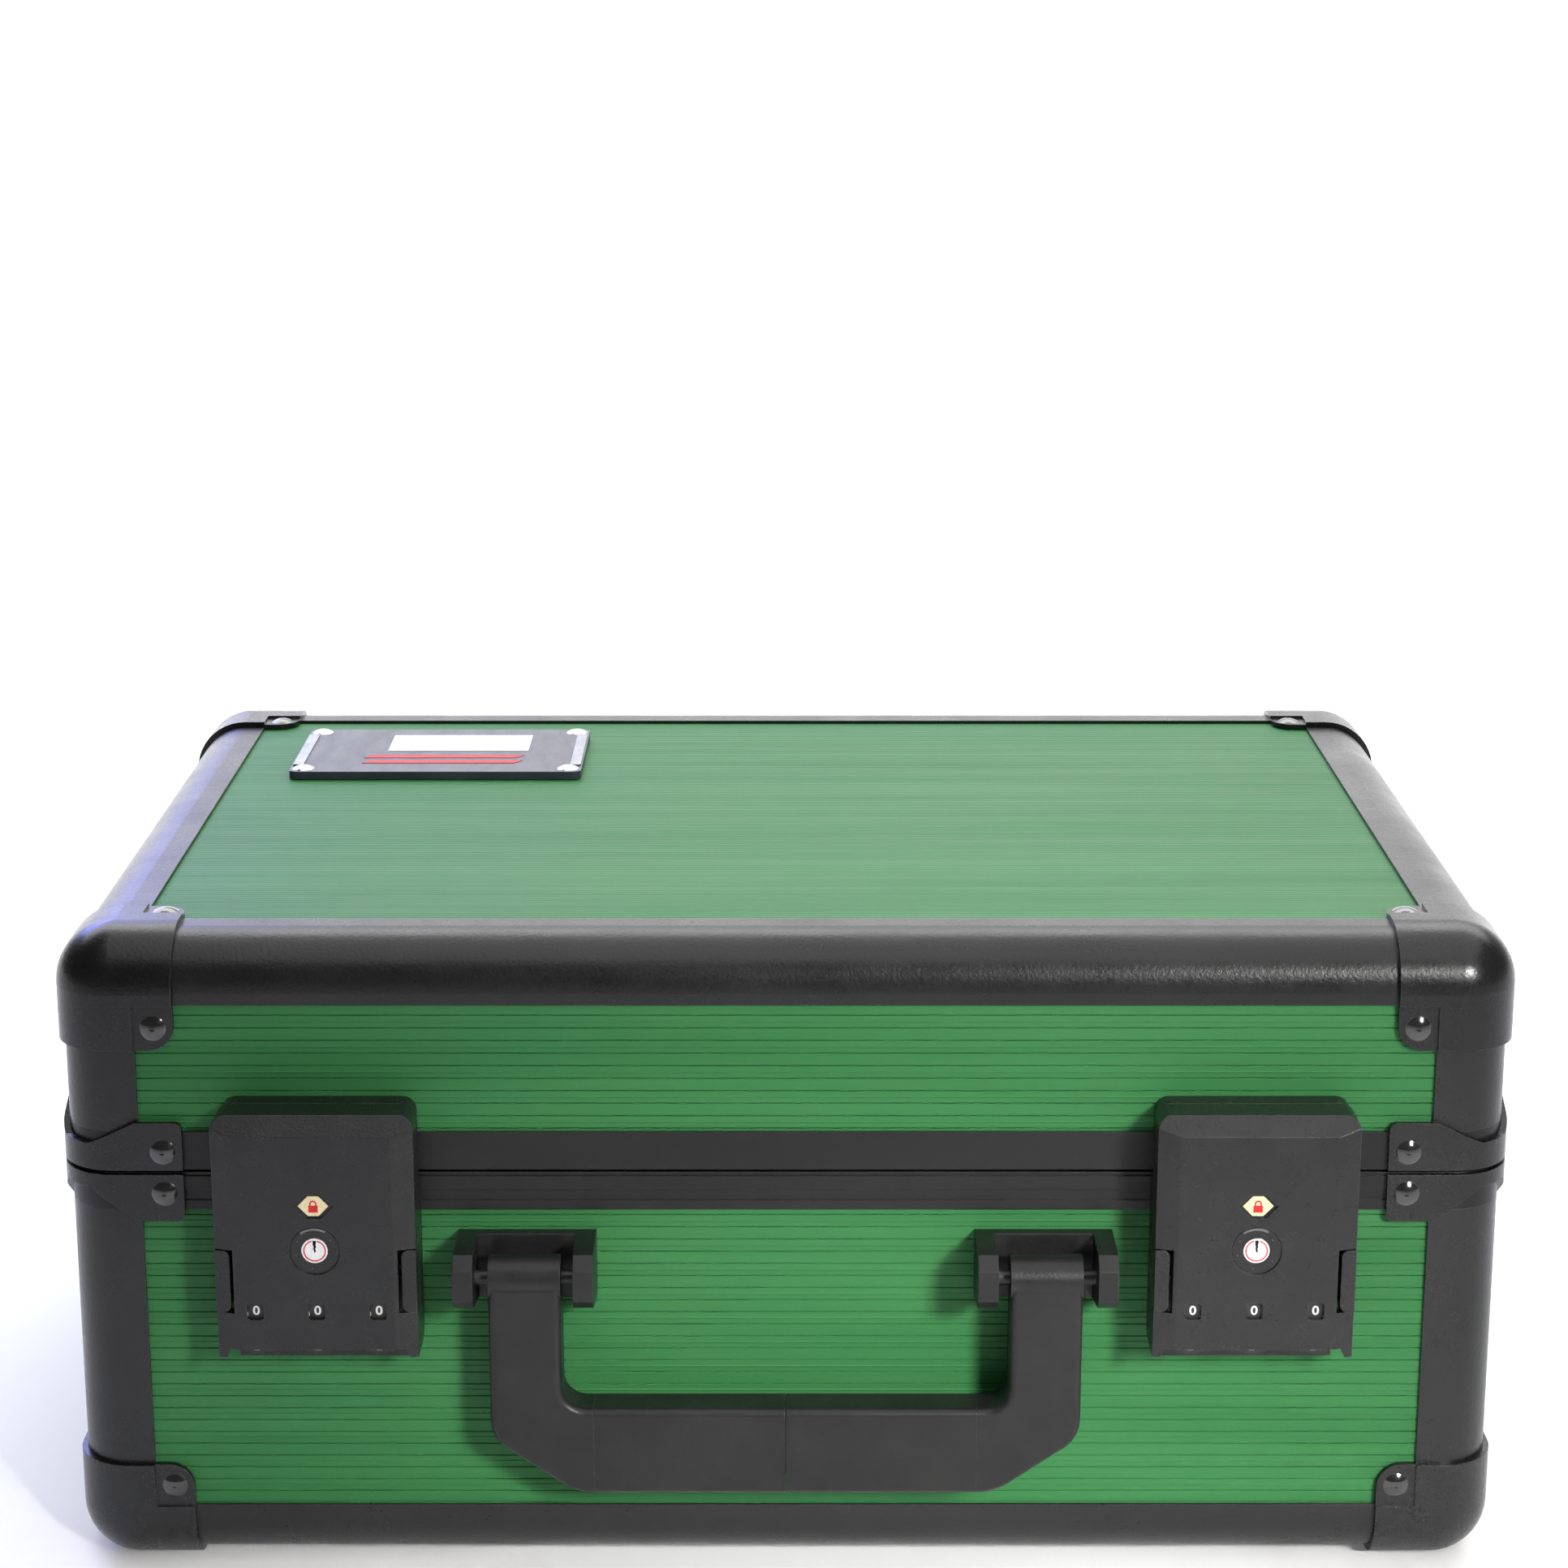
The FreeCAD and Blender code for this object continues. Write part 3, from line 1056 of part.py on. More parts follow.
def lock_latch(name, x):
    """Steel plate inside the cover with two noses that face the keeper's slots."""
    latch = Piece(f"{name}_latch", x)
    middle = "(cover_top_rise - latch_drop)"
    latch.box(("-latch_half", "latch_half"), (COVER_IN, f"{COVER_IN} + latch_thickness"),
              (f"{middle} - slot_height", f"{middle} + slot_height"))
    half_nose = "(keeper_slot / 2 - nose_play)"
    for side in ("-nose_offset", "nose_offset"):
        latch.box((f"{side} - {half_nose}", f"{side} + {half_nose}"),
                  (f"{COVER_IN} + latch_thickness", f"{FRONT} - keeper_thickness - nose_gap"),
                  (f"{middle} - slot_height / 2 + nose_play", f"{middle} + slot_height / 2 - nose_play"))
    latch.node()


def lock_dial(name, x, number, column):
    """One number dial: a knurled disc on its spindle."""
    dial = Piece(f"{name}_dial_{number}", x)
    dial.rod("y", (column, DIAL_FRONT, "dial_rise"), DIAL_RADIUS, "dial_thickness")
    dial.rod("y", (column, f"{DIAL_FRONT} - 1", "dial_rise"), "spindle_radius + running_play",
             "dial_thickness + 2", cut=True)
    blank = dial.body
    blank.Label = f"{name}_dial_{number}_blank"
    pitch = size["cover_width"] / 2 - size["dial_side"]
    radius = (pitch - size["dial_gap"]) / 2
    centre = (number - 2) * pitch
    front = -half_depth - size["cover_reach"]
    knurls = []
    count = int(size["dial_notches"])
    for notch in range(count):
        turn = math.tau * notch / count
        point = Vector(centre + radius * math.cos(turn), front,
                       size["dial_rise"] + radius * math.sin(turn))
        knurls.append(Part.makeCylinder(size["notch_radius"], size["cover_reach"], point,
                                        Vector(0, 1, 0)))
    tool = feature(f"{name}_dial_{number}_knurls", Part.makeCompound(knurls))
    finish(drilled(f"{name}_dial_{number}", blank, tool), x)


def lock_plug(name, x):
    """Key plug with its keyway."""
    plug = Piece(f"{name}_plug", x)
    start = f"({COVER_FRONT} + collar_depth / 2)"
    plug.rod("y", ("0", start, "plug_rise"), "plug_radius", "plug_length - collar_depth")
    plug.box(("-keyway_width / 2", "keyway_width / 2"), (f"{start} - 1", f"{start} + keyway_depth"),
             ("plug_rise - keyway_below", "plug_rise + keyway_above"), cut=True)
    plug.node()


def lock_buttons(name, x):
    """Two side buttons in openings that leave room for their stroke."""
    for side, sign in (("left", "-"), ("right", "")):
        button = Piece(f"{name}_{side}_button", x)
        outer = f"{sign}(cover_width / 2)"
        inner = f"{sign}(cover_width / 2 - button_width)"
        edges = (outer, inner) if sign else (inner, outer)
        button.box(edges, (f"{COVER_FRONT} + side_bevel_depth / 2",
                           f"{COVER_FRONT} + button_depth"), (BUTTON_LOW, BUTTON_HIGH))
        button.fillet("button_round", "y", x="high" if sign else "low", z="ends")
        button.node()


def lock_springs(name, x):
    """Two coil springs behind the side buttons."""
    spring = doc.addObject("Part::Feature", f"{name}_spring")
    radius, wire = size["spring_radius"], size["spring_wire"]
    helix = Part.makeHelix(size["spring_pitch"], size["spring_pitch"] * size["spring_turns"],
                           radius)
    profile = Part.Wire(Part.makeCircle(wire, Vector(radius, 0, 0), Vector(0, 1, 0)))
    coil = Part.Wire(helix).makePipeShell([profile], True, True)
    inner = size["cover_width"] / 2 - size["button_width"] - size["button_travel"] - wire
    front = -half_depth - size["cover_reach"] + size["button_depth"] / 2 + size["cover_face"]
    coil.Placement = Placement(Vector(-inner, front, size["button_rise"]),
                               Rotation(Vector(0, 1, 0), 90))
    spring.Shape = coil
    pair = group(f"{name}_springs", spring, mirrored(spring, "x"))
    finish(pair, x)


def lock_keepers():
    """Keeper plates on the lid's front, behind the tops of the lock covers."""
    half = "(cover_width / 2 - keeper_inset)"
    left = Piece("keeper")
    front = f"{FRONT} - keeper_thickness"
    middle = "(-lock_offset)"
    sides = (f"{middle} - {half}", f"{middle} + {half}")
    left.box(sides, (front, f"{FRONT} + lip"), (LID_BAND, "cover_top_rise"))
    left.fillet("cover_round", "y", x="ends", z="high")
    left.box(sides, (front, FRONT), (LID_EDGE, LID_BAND))
    latch = "(cover_top_rise - latch_drop)"
    for side in ("-nose_offset", "nose_offset"):
        left.box((f"{middle} + {side} - keeper_slot / 2", f"{middle} + {side} + keeper_slot / 2"),
                 (front, f"{front} + slot_depth"),
                 (f"{latch} - slot_height / 2", f"{latch} + slot_height / 2"), cut=True)
    finish(group("lock_keepers", left.body, mirrored(left.body, "x")))


def lock_pieces(side, sign):
    """Every piece of one lock, placed left or right of the middle."""
    name = f"{side}_lock"
    x = f"{sign}lock_offset"
    lock_base(name, x)
    lock_pivots(name, x)
    lock_cover(name, x)
    lock_latch(name, x)
    for number, column in enumerate(DIAL_COLUMNS, start=1):
        lock_dial(name, x, number, column)
    lock_plug(name, x)
    lock_buttons(name, x)
    lock_springs(name, x)


# ---------------------------------------------------------------- assembly
def build():
    lid = shell_rivets("lid_rivets", high_plane, 1, size["rivet_dome"])
    base = shell_rivets("base_rivets", low_plane, -1, size["low_rivet_dome"])
    handle = bracket_rivets()
    lid_hinge = hinge_rivets("lid_hinge_rivets", 1)
    base_hinge = hinge_rivets("base_hinge_rivets", -1)
    plate_holes = name_plate_pieces()
    lid_holes = feature("lid_holes", Part.makeCompound(
        lid.holes + lid_hinge.holes + plate_holes.Shape.Solids))
    base_holes = feature("base_holes", Part.makeCompound(
        base.holes + handle.holes + base_hinge.holes))
    panel_pieces("lid", "top", (f"{TOP} - {PANEL_IN}", f"{TOP} - lip"),
                 f"{LID_BAND} - panel_grip", f"{TOP} - panel_setback", lid_holes)
    panel_pieces("base", "bottom", (f"{BOTTOM} + lip", f"{BOTTOM} + {PANEL_IN}"),
                 f"{BOTTOM} + panel_setback", f"{BASE_BAND} + panel_grip", base_holes)
    rail_pieces()
    frame_pieces(lid_holes, base_holes)
    cap_pieces(lid_holes, base_holes)
    waist_pieces(lid_holes, base_holes)
    foam_pieces()
    handle_pieces(base_holes)
    hinge_pieces(lid_holes, base_holes)
    lock_keepers()
    lock_pieces("left", "-")
    lock_pieces("right", "")
    for rivets in (lid, base, handle, lid_hinge, base_hinge):
        rivets.node()


build()
doc.recompute()

faults = [item.Label for item in doc.Objects if {"Invalid", "Error"} & set(item.State)]
if faults:
    raise RuntimeError("failed: " + ", ".join(faults))
os.makedirs("parts", exist_ok=True)
for label, item in nodes.items():
    shape = item.Shape
    if shape.isNull() or not shape.isValid() or not shape.Solids:
        raise RuntimeError("bad shape: " + label)
    shape.exportStep(os.path.join("parts", label + ".step"))
    print(f"{label:28s} solids {len(shape.Solids):3d} volume {shape.Volume / 1000:9.3f} cm3")
print(len(nodes), "nodes")
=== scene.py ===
"""Studio scene of the green hard case: ribbed panels, cut foam, lock faces and finishes.

Metres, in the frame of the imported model.  Every place on the case is worked out from the
boxes of the CAD nodes, and every piece rides on the body of the node that it belongs to.
"""

import json
import math

import bmesh
import bpy
from mathutils import Matrix, Vector

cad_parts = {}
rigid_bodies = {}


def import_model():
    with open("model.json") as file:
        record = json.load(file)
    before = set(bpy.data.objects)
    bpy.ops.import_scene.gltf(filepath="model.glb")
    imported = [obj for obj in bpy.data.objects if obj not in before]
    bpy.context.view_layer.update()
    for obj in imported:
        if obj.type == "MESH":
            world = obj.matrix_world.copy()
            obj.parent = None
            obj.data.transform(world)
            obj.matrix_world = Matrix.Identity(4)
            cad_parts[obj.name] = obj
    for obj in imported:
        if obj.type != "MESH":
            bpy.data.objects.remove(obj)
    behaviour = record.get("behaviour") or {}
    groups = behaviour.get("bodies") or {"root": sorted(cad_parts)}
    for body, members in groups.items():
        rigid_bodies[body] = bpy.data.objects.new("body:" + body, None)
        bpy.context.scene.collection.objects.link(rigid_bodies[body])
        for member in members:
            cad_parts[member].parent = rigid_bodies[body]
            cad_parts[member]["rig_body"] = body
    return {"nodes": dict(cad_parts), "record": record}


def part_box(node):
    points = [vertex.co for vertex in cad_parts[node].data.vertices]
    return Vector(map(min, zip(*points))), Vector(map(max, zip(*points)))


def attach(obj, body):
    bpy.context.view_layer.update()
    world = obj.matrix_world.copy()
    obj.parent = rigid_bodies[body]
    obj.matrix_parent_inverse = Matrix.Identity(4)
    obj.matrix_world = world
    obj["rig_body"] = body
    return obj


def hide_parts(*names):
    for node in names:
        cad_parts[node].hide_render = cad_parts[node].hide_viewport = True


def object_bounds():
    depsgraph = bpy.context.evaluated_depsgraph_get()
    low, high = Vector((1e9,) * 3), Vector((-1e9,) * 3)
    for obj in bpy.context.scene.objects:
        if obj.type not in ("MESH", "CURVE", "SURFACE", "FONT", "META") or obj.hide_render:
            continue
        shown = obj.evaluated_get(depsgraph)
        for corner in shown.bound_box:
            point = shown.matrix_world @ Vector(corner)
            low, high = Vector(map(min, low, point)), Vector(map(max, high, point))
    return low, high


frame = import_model()
CAD_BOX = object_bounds()

MM = 0.001
SIDES = ("left", "right")
SHARP_ANGLE = math.radians(30)
WELD = 1e-7
TOUCH = 1e-6


# ---------------------------------------------------------------- places and pieces
def middle(node):
    """The centre of a CAD node's box."""
    low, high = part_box(node)
    return (low + high) / 2


def front_middle(node):
    """The middle of the front face of a CAD node's box."""
    centre = middle(node)
    return Vector((centre.x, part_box(node)[0].y, centre.z))


def body_of(node):
    """The name of the body that a CAD node rides on."""
    return frame["nodes"][node]["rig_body"]


def facing(centre, points):
    """Places (x, z) about a centre, as points of the upright plane through it."""
    return [Vector((centre.x + x, centre.y, centre.z + z)) for x, z in points]


def on_circle(radius, angle):
    """The place (x, z) at an angle round a circle."""
    return radius * math.cos(angle), radius * math.sin(angle)


def piece(name, mesh, material, node, replaces=()):
    """A mesh as a piece that rides with a CAD node."""
    thing = bpy.data.objects.new(name, mesh)
    bpy.context.scene.collection.objects.link(thing)
    mesh.materials.clear()
    mesh.materials.append(material)
    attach(thing, body_of(node))
    if replaces:
        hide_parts(*replaces)
    return thing


def mesh_from(bm, name, smooth=False):
    """A bmesh as a mesh with outward normals."""
    bmesh.ops.remove_doubles(bm, verts=bm.verts, dist=WELD)
    bmesh.ops.recalc_face_normals(bm, faces=bm.faces)
    mesh = bpy.data.meshes.new(name)
    bm.to_mesh(mesh)
    bm.free()
    if smooth:
        for face in mesh.polygons:
            face.use_smooth = True
    return mesh


def prism(bm, outline, depth):
    """Fill a closed outline and extrude it by a vector."""
    verts = [bm.verts.new(point) for point in outline]
    face = bm.faces.new(verts)
    grown = bmesh.ops.extrude_face_region(bm, geom=[face])
    moved = [item for item in grown["geom"] if isinstance(item, bmesh.types.BMVert)]
    bmesh.ops.translate(bm, vec=depth, verts=moved)


def bevelled(bm, width, segments=2):
    """Round every edge that is sharper than SHARP_ANGLE."""
    sharp = [edge for edge in bm.edges
             if edge.is_manifold and edge.calc_face_angle(0) > SHARP_ANGLE]
    bmesh.ops.bevel(bm, geom=sharp, offset=width, segments=segments, profile=0.5,
                    affect="EDGES", clamp_overlap=True)


# ---------------------------------------------------------------- materials
def link(tree, source, target):
    tree.links.new(source, target)


def add(tree, kind, inputs=None, **settings):
    """A shader node with its settings and its unlinked input values."""
    item = tree.nodes.new("ShaderNode" + kind)
    for name, value in settings.items():
        setattr(item, name, value)
    for name, value in (inputs or {}).items():
        item.inputs[name].default_value = value
    return item


EVEN = (1, 1, 1)


def coordinates(tree, stretch=EVEN):
    """Object coordinates, stretched by axis."""
    place = add(tree, "TexCoord").outputs["Object"]
    if stretch == EVEN:
        return place
    mapping = add(tree, "Mapping")
    mapping.inputs["Scale"].default_value = stretch
    link(tree, place, mapping.inputs["Vector"])
    return mapping.outputs["Vector"]


def noise(tree, scale, detail, roughness, stretch=EVEN):
    """Noise with a scale in waves per metre."""
    texture = add(tree, "TexNoise", {"Scale": scale, "Detail": detail, "Roughness": roughness})
    link(tree, coordinates(tree, stretch), texture.inputs["Vector"])
    return texture.outputs["Fac"]


def spread(tree, value, low, high, start=0.35, end=0.65):
    """A value between start and end, spread out between low and high."""
    reach = add(tree, "MapRange", {"From Min": start, "From Max": end, "To Min": low,
                                   "To Max": high})
    link(tree, value, reach.inputs["Value"])
    return reach.outputs["Result"]


def mixed(tree, factor, first, second):
    """Two colours, or a socket and a colour, mixed by a factor."""
    mix = add(tree, "Mix", data_type="RGBA")
    link(tree, factor, mix.inputs["Factor"])
    for place, colour in ((6, first), (7, second)):
        if isinstance(colour, tuple):
            mix.inputs[place].default_value = (*colour, 1.0)
        else:
            link(tree, colour, mix.inputs[place])
    return mix.outputs[2]


def product(tree, first, second):
    """A socket times another socket or a number."""
    times = add(tree, "Math", operation="MULTIPLY")
    for place, value in enumerate((first, second)):
        if isinstance(value, float):
            times.inputs[place].default_value = value
        else:
            link(tree, value, times.inputs[place])
    return times.outputs[0]


BEVEL_SAMPLES = 4
EDGE_DOT = 0.86
FLAT_DOT = 0.995


def edge_mask(tree, radius):
    """1 on outer edges, 0 on faces: how far the rounded normal leaves the true one."""
    rounded = add(tree, "Bevel", {"Radius": radius}, samples=BEVEL_SAMPLES)
    true = add(tree, "NewGeometry")
    dot = add(tree, "VectorMath", operation="DOT_PRODUCT")
    link(tree, rounded.outputs["Normal"], dot.inputs[0])
    link(tree, true.outputs["Normal"], dot.inputs[1])
    return spread(tree, dot.outputs["Value"], 1.0, 0.0, EDGE_DOT, FLAT_DOT)


RUB_SCALE = 260.0
BLOTCH_SCALE = 2.2
GRAIN_SHARE = 0.4


def finish(name, colour, shade, rough, grain, metallic=0.0, coat=0.0, coat_rough=0.2,
           specular=0.5, cloud=25.0, stretch=EVEN, grain_stretch=EVEN,
           soften=0.35 * MM, wear=None, sheen=0.0):
    """A procedural finish.

    colour and shade are the two ends of its cloudy tone, rough its roughness range, and
    grain its (size, depth) in metres.  cloud is the waves per metre of the tone, soften the
    radius that edges seem to have, and wear the (colour, amount, width) of rubbed edges.
    """
    material = bpy.data.materials.new(name)
    material.use_nodes = True
    tree = material.node_tree
    shader = tree.nodes["Principled BSDF"]
    shader.inputs["Metallic"].default_value = metallic
    shader.inputs["Coat Weight"].default_value = coat
    shader.inputs["Coat Roughness"].default_value = coat_rough
    shader.inputs["Specular IOR Level"].default_value = specular
    shader.inputs["Sheen Weight"].default_value = sheen
    tone = spread(tree, noise(tree, cloud, 4.0, 0.6, stretch), 0.0, 1.0)
    base = mixed(tree, tone, colour, shade)
    if wear:
        worn, amount, width = wear
        patchy = spread(tree, noise(tree, RUB_SCALE, 4.0, 0.7), 0.1, 1.0, 0.35, 0.62)
        rubbed = product(tree, product(tree, edge_mask(tree, width), patchy), amount)
        base = mixed(tree, rubbed, base, worn)
    link(tree, base, shader.inputs["Base Color"])
    size, depth = grain
    fine = noise(tree, 1.0 / size, 2.0, 0.6, grain_stretch)
    blotch = noise(tree, cloud * BLOTCH_SCALE, 5.0, 0.65, stretch)
    both = add(tree, "Math", operation="ADD")
    link(tree, product(tree, fine, GRAIN_SHARE), both.inputs[0])
    link(tree, product(tree, blotch, 1 - GRAIN_SHARE), both.inputs[1])
    link(tree, spread(tree, both.outputs[0], rough[0], rough[1]), shader.inputs["Roughness"])
    bump = add(tree, "Bump", {"Strength": 1.0, "Distance": depth})
    link(tree, fine, bump.inputs["Height"])
    if soften:
        rounded = add(tree, "Bevel", {"Radius": soften}, samples=BEVEL_SAMPLES)
        link(tree, rounded.outputs["Normal"], bump.inputs["Normal"])
    link(tree, bump.outputs["Normal"], shader.inputs["Normal"])
    return material


BLACK = (0.008, 0.008, 0.0085)


def materials():
    """The finishes by material slot, and those of the small details."""
    made = {}
    made["green_panel"] = finish(
        "green_ribbed_laminate", (0.027, 0.150, 0.043), (0.038, 0.178, 0.055), (0.42, 0.58),
        (0.5 * MM, 0.006 * MM), specular=0.22, cloud=9.0, stretch=(0.25, 6.0, 6.0),
        grain_stretch=(0.05, 1.0, 1.0), soften=0)
    made["black_rail"] = finish(
        "black_anodised_rail", BLACK, (0.012, 0.012, 0.0125), (0.25, 0.38),
        (1.2 * MM, 0.090 * MM), specular=0.42, cloud=18.0,
        wear=((0.10, 0.10, 0.10), 0.35, 0.6 * MM))
    made["black_frame"] = finish(
        "black_anodised_frame", BLACK, (0.013, 0.013, 0.0135), (0.28, 0.44),
        (0.9 * MM, 0.040 * MM), specular=0.3, cloud=22.0, stretch=(0.35, 1, 1),
        wear=((0.10, 0.10, 0.10), 0.3, 0.4 * MM))
    made["black_steel"] = finish(
        "black_painted_steel", BLACK, (0.012, 0.012, 0.0125), (0.22, 0.34),
        (1.1 * MM, 0.060 * MM), specular=0.4, cloud=26.0,
        wear=((0.12, 0.12, 0.12), 0.45, 0.5 * MM))
    made["rivet"] = finish(
        "gloss_black_rivet", (0.010, 0.010, 0.010), (0.018, 0.018, 0.018), (0.08, 0.20),
        (0.5 * MM, 0.004 * MM), coat=0.6, coat_rough=0.06, specular=0.7, cloud=300.0, soften=0,
        wear=((0.20, 0.20, 0.20), 0.3, 0.3 * MM))
    made["pin_steel"] = finish(
        "black_oxide_steel", (0.022, 0.022, 0.023), (0.034, 0.034, 0.035), (0.28, 0.45),
        (0.4 * MM, 0.008 * MM), metallic=0.3, cloud=90.0,
        wear=((0.25, 0.25, 0.25), 0.4, 0.3 * MM))
    made["plate_metal"] = finish(
        "dark_satin_plate", (0.035, 0.038, 0.060), (0.055, 0.058, 0.085), (0.28, 0.42),
        (0.4 * MM, 0.008 * MM), metallic=0.2, cloud=60.0, stretch=(1, 0.3, 1),
        wear=((0.30, 0.30, 0.32), 0.6, 0.4 * MM))
    made["bright_screw"] = finish(
        "polished_screw", (0.62, 0.62, 0.64), (0.50, 0.50, 0.52), (0.08, 0.20),
        (0.4 * MM, 0.003 * MM), metallic=1.0, cloud=400.0, soften=0.2 * MM)
    made["lock_metal"] = finish(
        "matt_black_die_cast", BLACK, (0.012, 0.012, 0.012), (0.24, 0.38),
        (0.9 * MM, 0.075 * MM), specular=0.42, cloud=70.0, soften=0.45 * MM,
        wear=((0.11, 0.11, 0.11), 0.45, 0.5 * MM))
    made["handle_plastic"] = finish(
        "moulded_black_plastic", (0.009, 0.009, 0.0095), (0.014, 0.014, 0.014), (0.30, 0.44),
        (0.9 * MM, 0.060 * MM), specular=0.34, cloud=60.0, soften=0.6 * MM,
        wear=((0.10, 0.10, 0.10), 0.2, 0.8 * MM))
    made["dial_plastic"] = finish(
        "black_dial", (0.010, 0.010, 0.010), (0.016, 0.016, 0.016), (0.38, 0.5),
        (0.3 * MM, 0.008 * MM), cloud=200.0, soften=0.15 * MM)
    made["plug_metal"] = finish(
        "satin_chrome_plug", (0.85, 0.85, 0.86), (0.72, 0.72, 0.73), (0.18, 0.34),
        (0.25 * MM, 0.004 * MM), metallic=1.0, cloud=500.0, soften=0.12 * MM)
    # Grey for the collar's index marks, and for the arc across the collar's top, which is a
    # painted highlight.
    made["worn_grey"] = finish(
        "worn_grey_metal", (0.10, 0.10, 0.10), (0.16, 0.16, 0.16), (0.35, 0.50),
        (0.4 * MM, 0.010 * MM), metallic=0.4, cloud=200.0, soften=0.1 * MM)
    made["foam"] = finish(
        "charcoal_foam", (0.022, 0.022, 0.024), (0.045, 0.045, 0.048), (0.85, 0.98),
        (0.9 * MM, 0.30 * MM), specular=0.15, cloud=60.0, soften=0, sheen=0.25)
    made["white_paint"] = finish(
        "white_number_paint", (0.80, 0.80, 0.78), (0.68, 0.68, 0.66), (0.35, 0.5),
        (0.2 * MM, 0.004 * MM), cloud=900.0, soften=0)
    made["cream_enamel"] = finish(
        "cream_enamel", (0.78, 0.66, 0.40), (0.70, 0.58, 0.34), (0.22, 0.35),
        (0.3 * MM, 0.003 * MM), coat=0.5, coat_rough=0.1, cloud=500.0, soften=0)
    made["red_enamel"] = finish(
        "red_enamel", (0.62, 0.025, 0.03), (0.50, 0.020, 0.025), (0.40, 0.55),
        (0.3 * MM, 0.003 * MM), specular=0.25, cloud=500.0, soften=0)
    made["white_face"] = finish(
        "white_enamel_face", (0.80, 0.80, 0.80), (0.70, 0.70, 0.71), (0.20, 0.35),
        (0.3 * MM, 0.003 * MM), coat=0.4, coat_rough=0.1, cloud=500.0, soften=0)
    made["silver_bar"] = finish(
        "brushed_silver_bar", (0.36, 0.37, 0.40), (0.27, 0.28, 0.31), (0.30, 0.48),
        (0.35 * MM, 0.010 * MM), metallic=1.0, cloud=120.0, grain_stretch=(1, 0.05, 1),
        soften=0.15 * MM)
    return made


# ---------------------------------------------------------------- ribbed panels
RIB_PITCH = 4.24 * MM
GROOVE_DEPTH = 0.42 * MM
FINE_PITCH = 2.35 * MM
FINE_DEPTH = 0.10 * MM
GROOVE_HALF = 0.28 * MM
BEAD_HALF = 0.38 * MM
BEAD_RISE = 0.22 * MM
SKIN_SINK = 0.25 * MM       # the panel's own face below the CAD face, to leave room for beads


def rib_profile(start, end, phase, fine):
    """Places across a panel and depths below its CAD face.

    Walls have deep grooves with a bead on every other rib, top and bottom fine grooves only.
    """
    pitch, groove = (FINE_PITCH, FINE_DEPTH) if fine else (RIB_PITCH, GROOVE_DEPTH)
    points = [(start, SKIN_SINK)]
    number = math.ceil((start - phase) / pitch)
    while phase + number * pitch < end - 2 * GROOVE_HALF:
        at = phase + number * pitch
        if at > start + 2 * GROOVE_HALF:
            points += [(at - GROOVE_HALF, SKIN_SINK), (at, SKIN_SINK + groove),
                       (at + GROOVE_HALF, SKIN_SINK)]
        bead = at + pitch / 2
        if not fine and number % 2 and start + BEAD_HALF < bead < end - 2 * BEAD_HALF:
            points += [(bead - BEAD_HALF, SKIN_SINK),
                       (bead - BEAD_HALF / 3, SKIN_SINK - BEAD_RISE),
                       (bead + BEAD_HALF / 3, SKIN_SINK - BEAD_RISE),
                       (bead + BEAD_HALF, SKIN_SINK)]
        number += 1
    points.append((end, SKIN_SINK))
    return points


def ribbed(name, low, high, outward, across, material, node):
    """A panel with ribs along one axis: outward is (axis, sign), across the rib-to-rib axis."""
    axis, sign = outward
    along = 3 - axis - across
    face = high[axis] if sign > 0 else low[axis]
    back = low[axis] if sign > 0 else high[axis]
    phase = middle("name_plate")[across]
    profile = [(place, face - sign * depth) for place, depth
               in rib_profile(low[across], high[across], phase, axis == 2)]
    profile += [(high[across], back), (low[across], back)]
    outline = []
    for place, level in profile:
        point = Vector((0, 0, 0))
        point[axis] = level
        point[across] = place
        point[along] = low[along]
        outline.append(point)
    length = Vector((0, 0, 0))
    length[along] = high[along] - low[along]
    bm = bmesh.new()
    prism(bm, outline, length)
    piece(name, mesh_from(bm, name), material, node, (node,))


def ribbed_panels(made):
    """The ten green panels, with ribs along the case's width and round its ends."""
    green = made["green_panel"]
    for node, outward, across in (
        ("lid_top_panel", (2, 1), 1), ("base_bottom_panel", (2, -1), 1),
        ("lid_front_panel", (1, -1), 2), ("base_front_panel", (1, -1), 2),
        ("lid_back_panel", (1, 1), 2), ("base_back_panel", (1, 1), 2),
    ):
        low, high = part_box(node)
        ribbed(node + "_ribbed", low, high, outward, across, green, node)
    low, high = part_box("lid_top_panel")
    thick = high.z - low.z
    for node in ("lid_side_panels", "base_side_panels"):
        low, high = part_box(node)
        left = Vector((low.x + thick, high.y, high.z))
        right = Vector((high.x - thick, low.y, low.z))
        ribbed(node + "_left_ribbed", low, left, (0, -1), 2, green, node)
        ribbed(node + "_right_ribbed", right, high, (0, 1), 2, green, node)


# ---------------------------------------------------------------- foam
WAVE_PITCH = 34 * MM
WAVE_STEPS = 10
WAVE_SHARPNESS = 1.15
LID_WAVE = 20 * MM
BASE_WAVE = 9 * MM
RIM_DROP = 1.2 * MM
RIM_WIDTH = 2.5 * MM


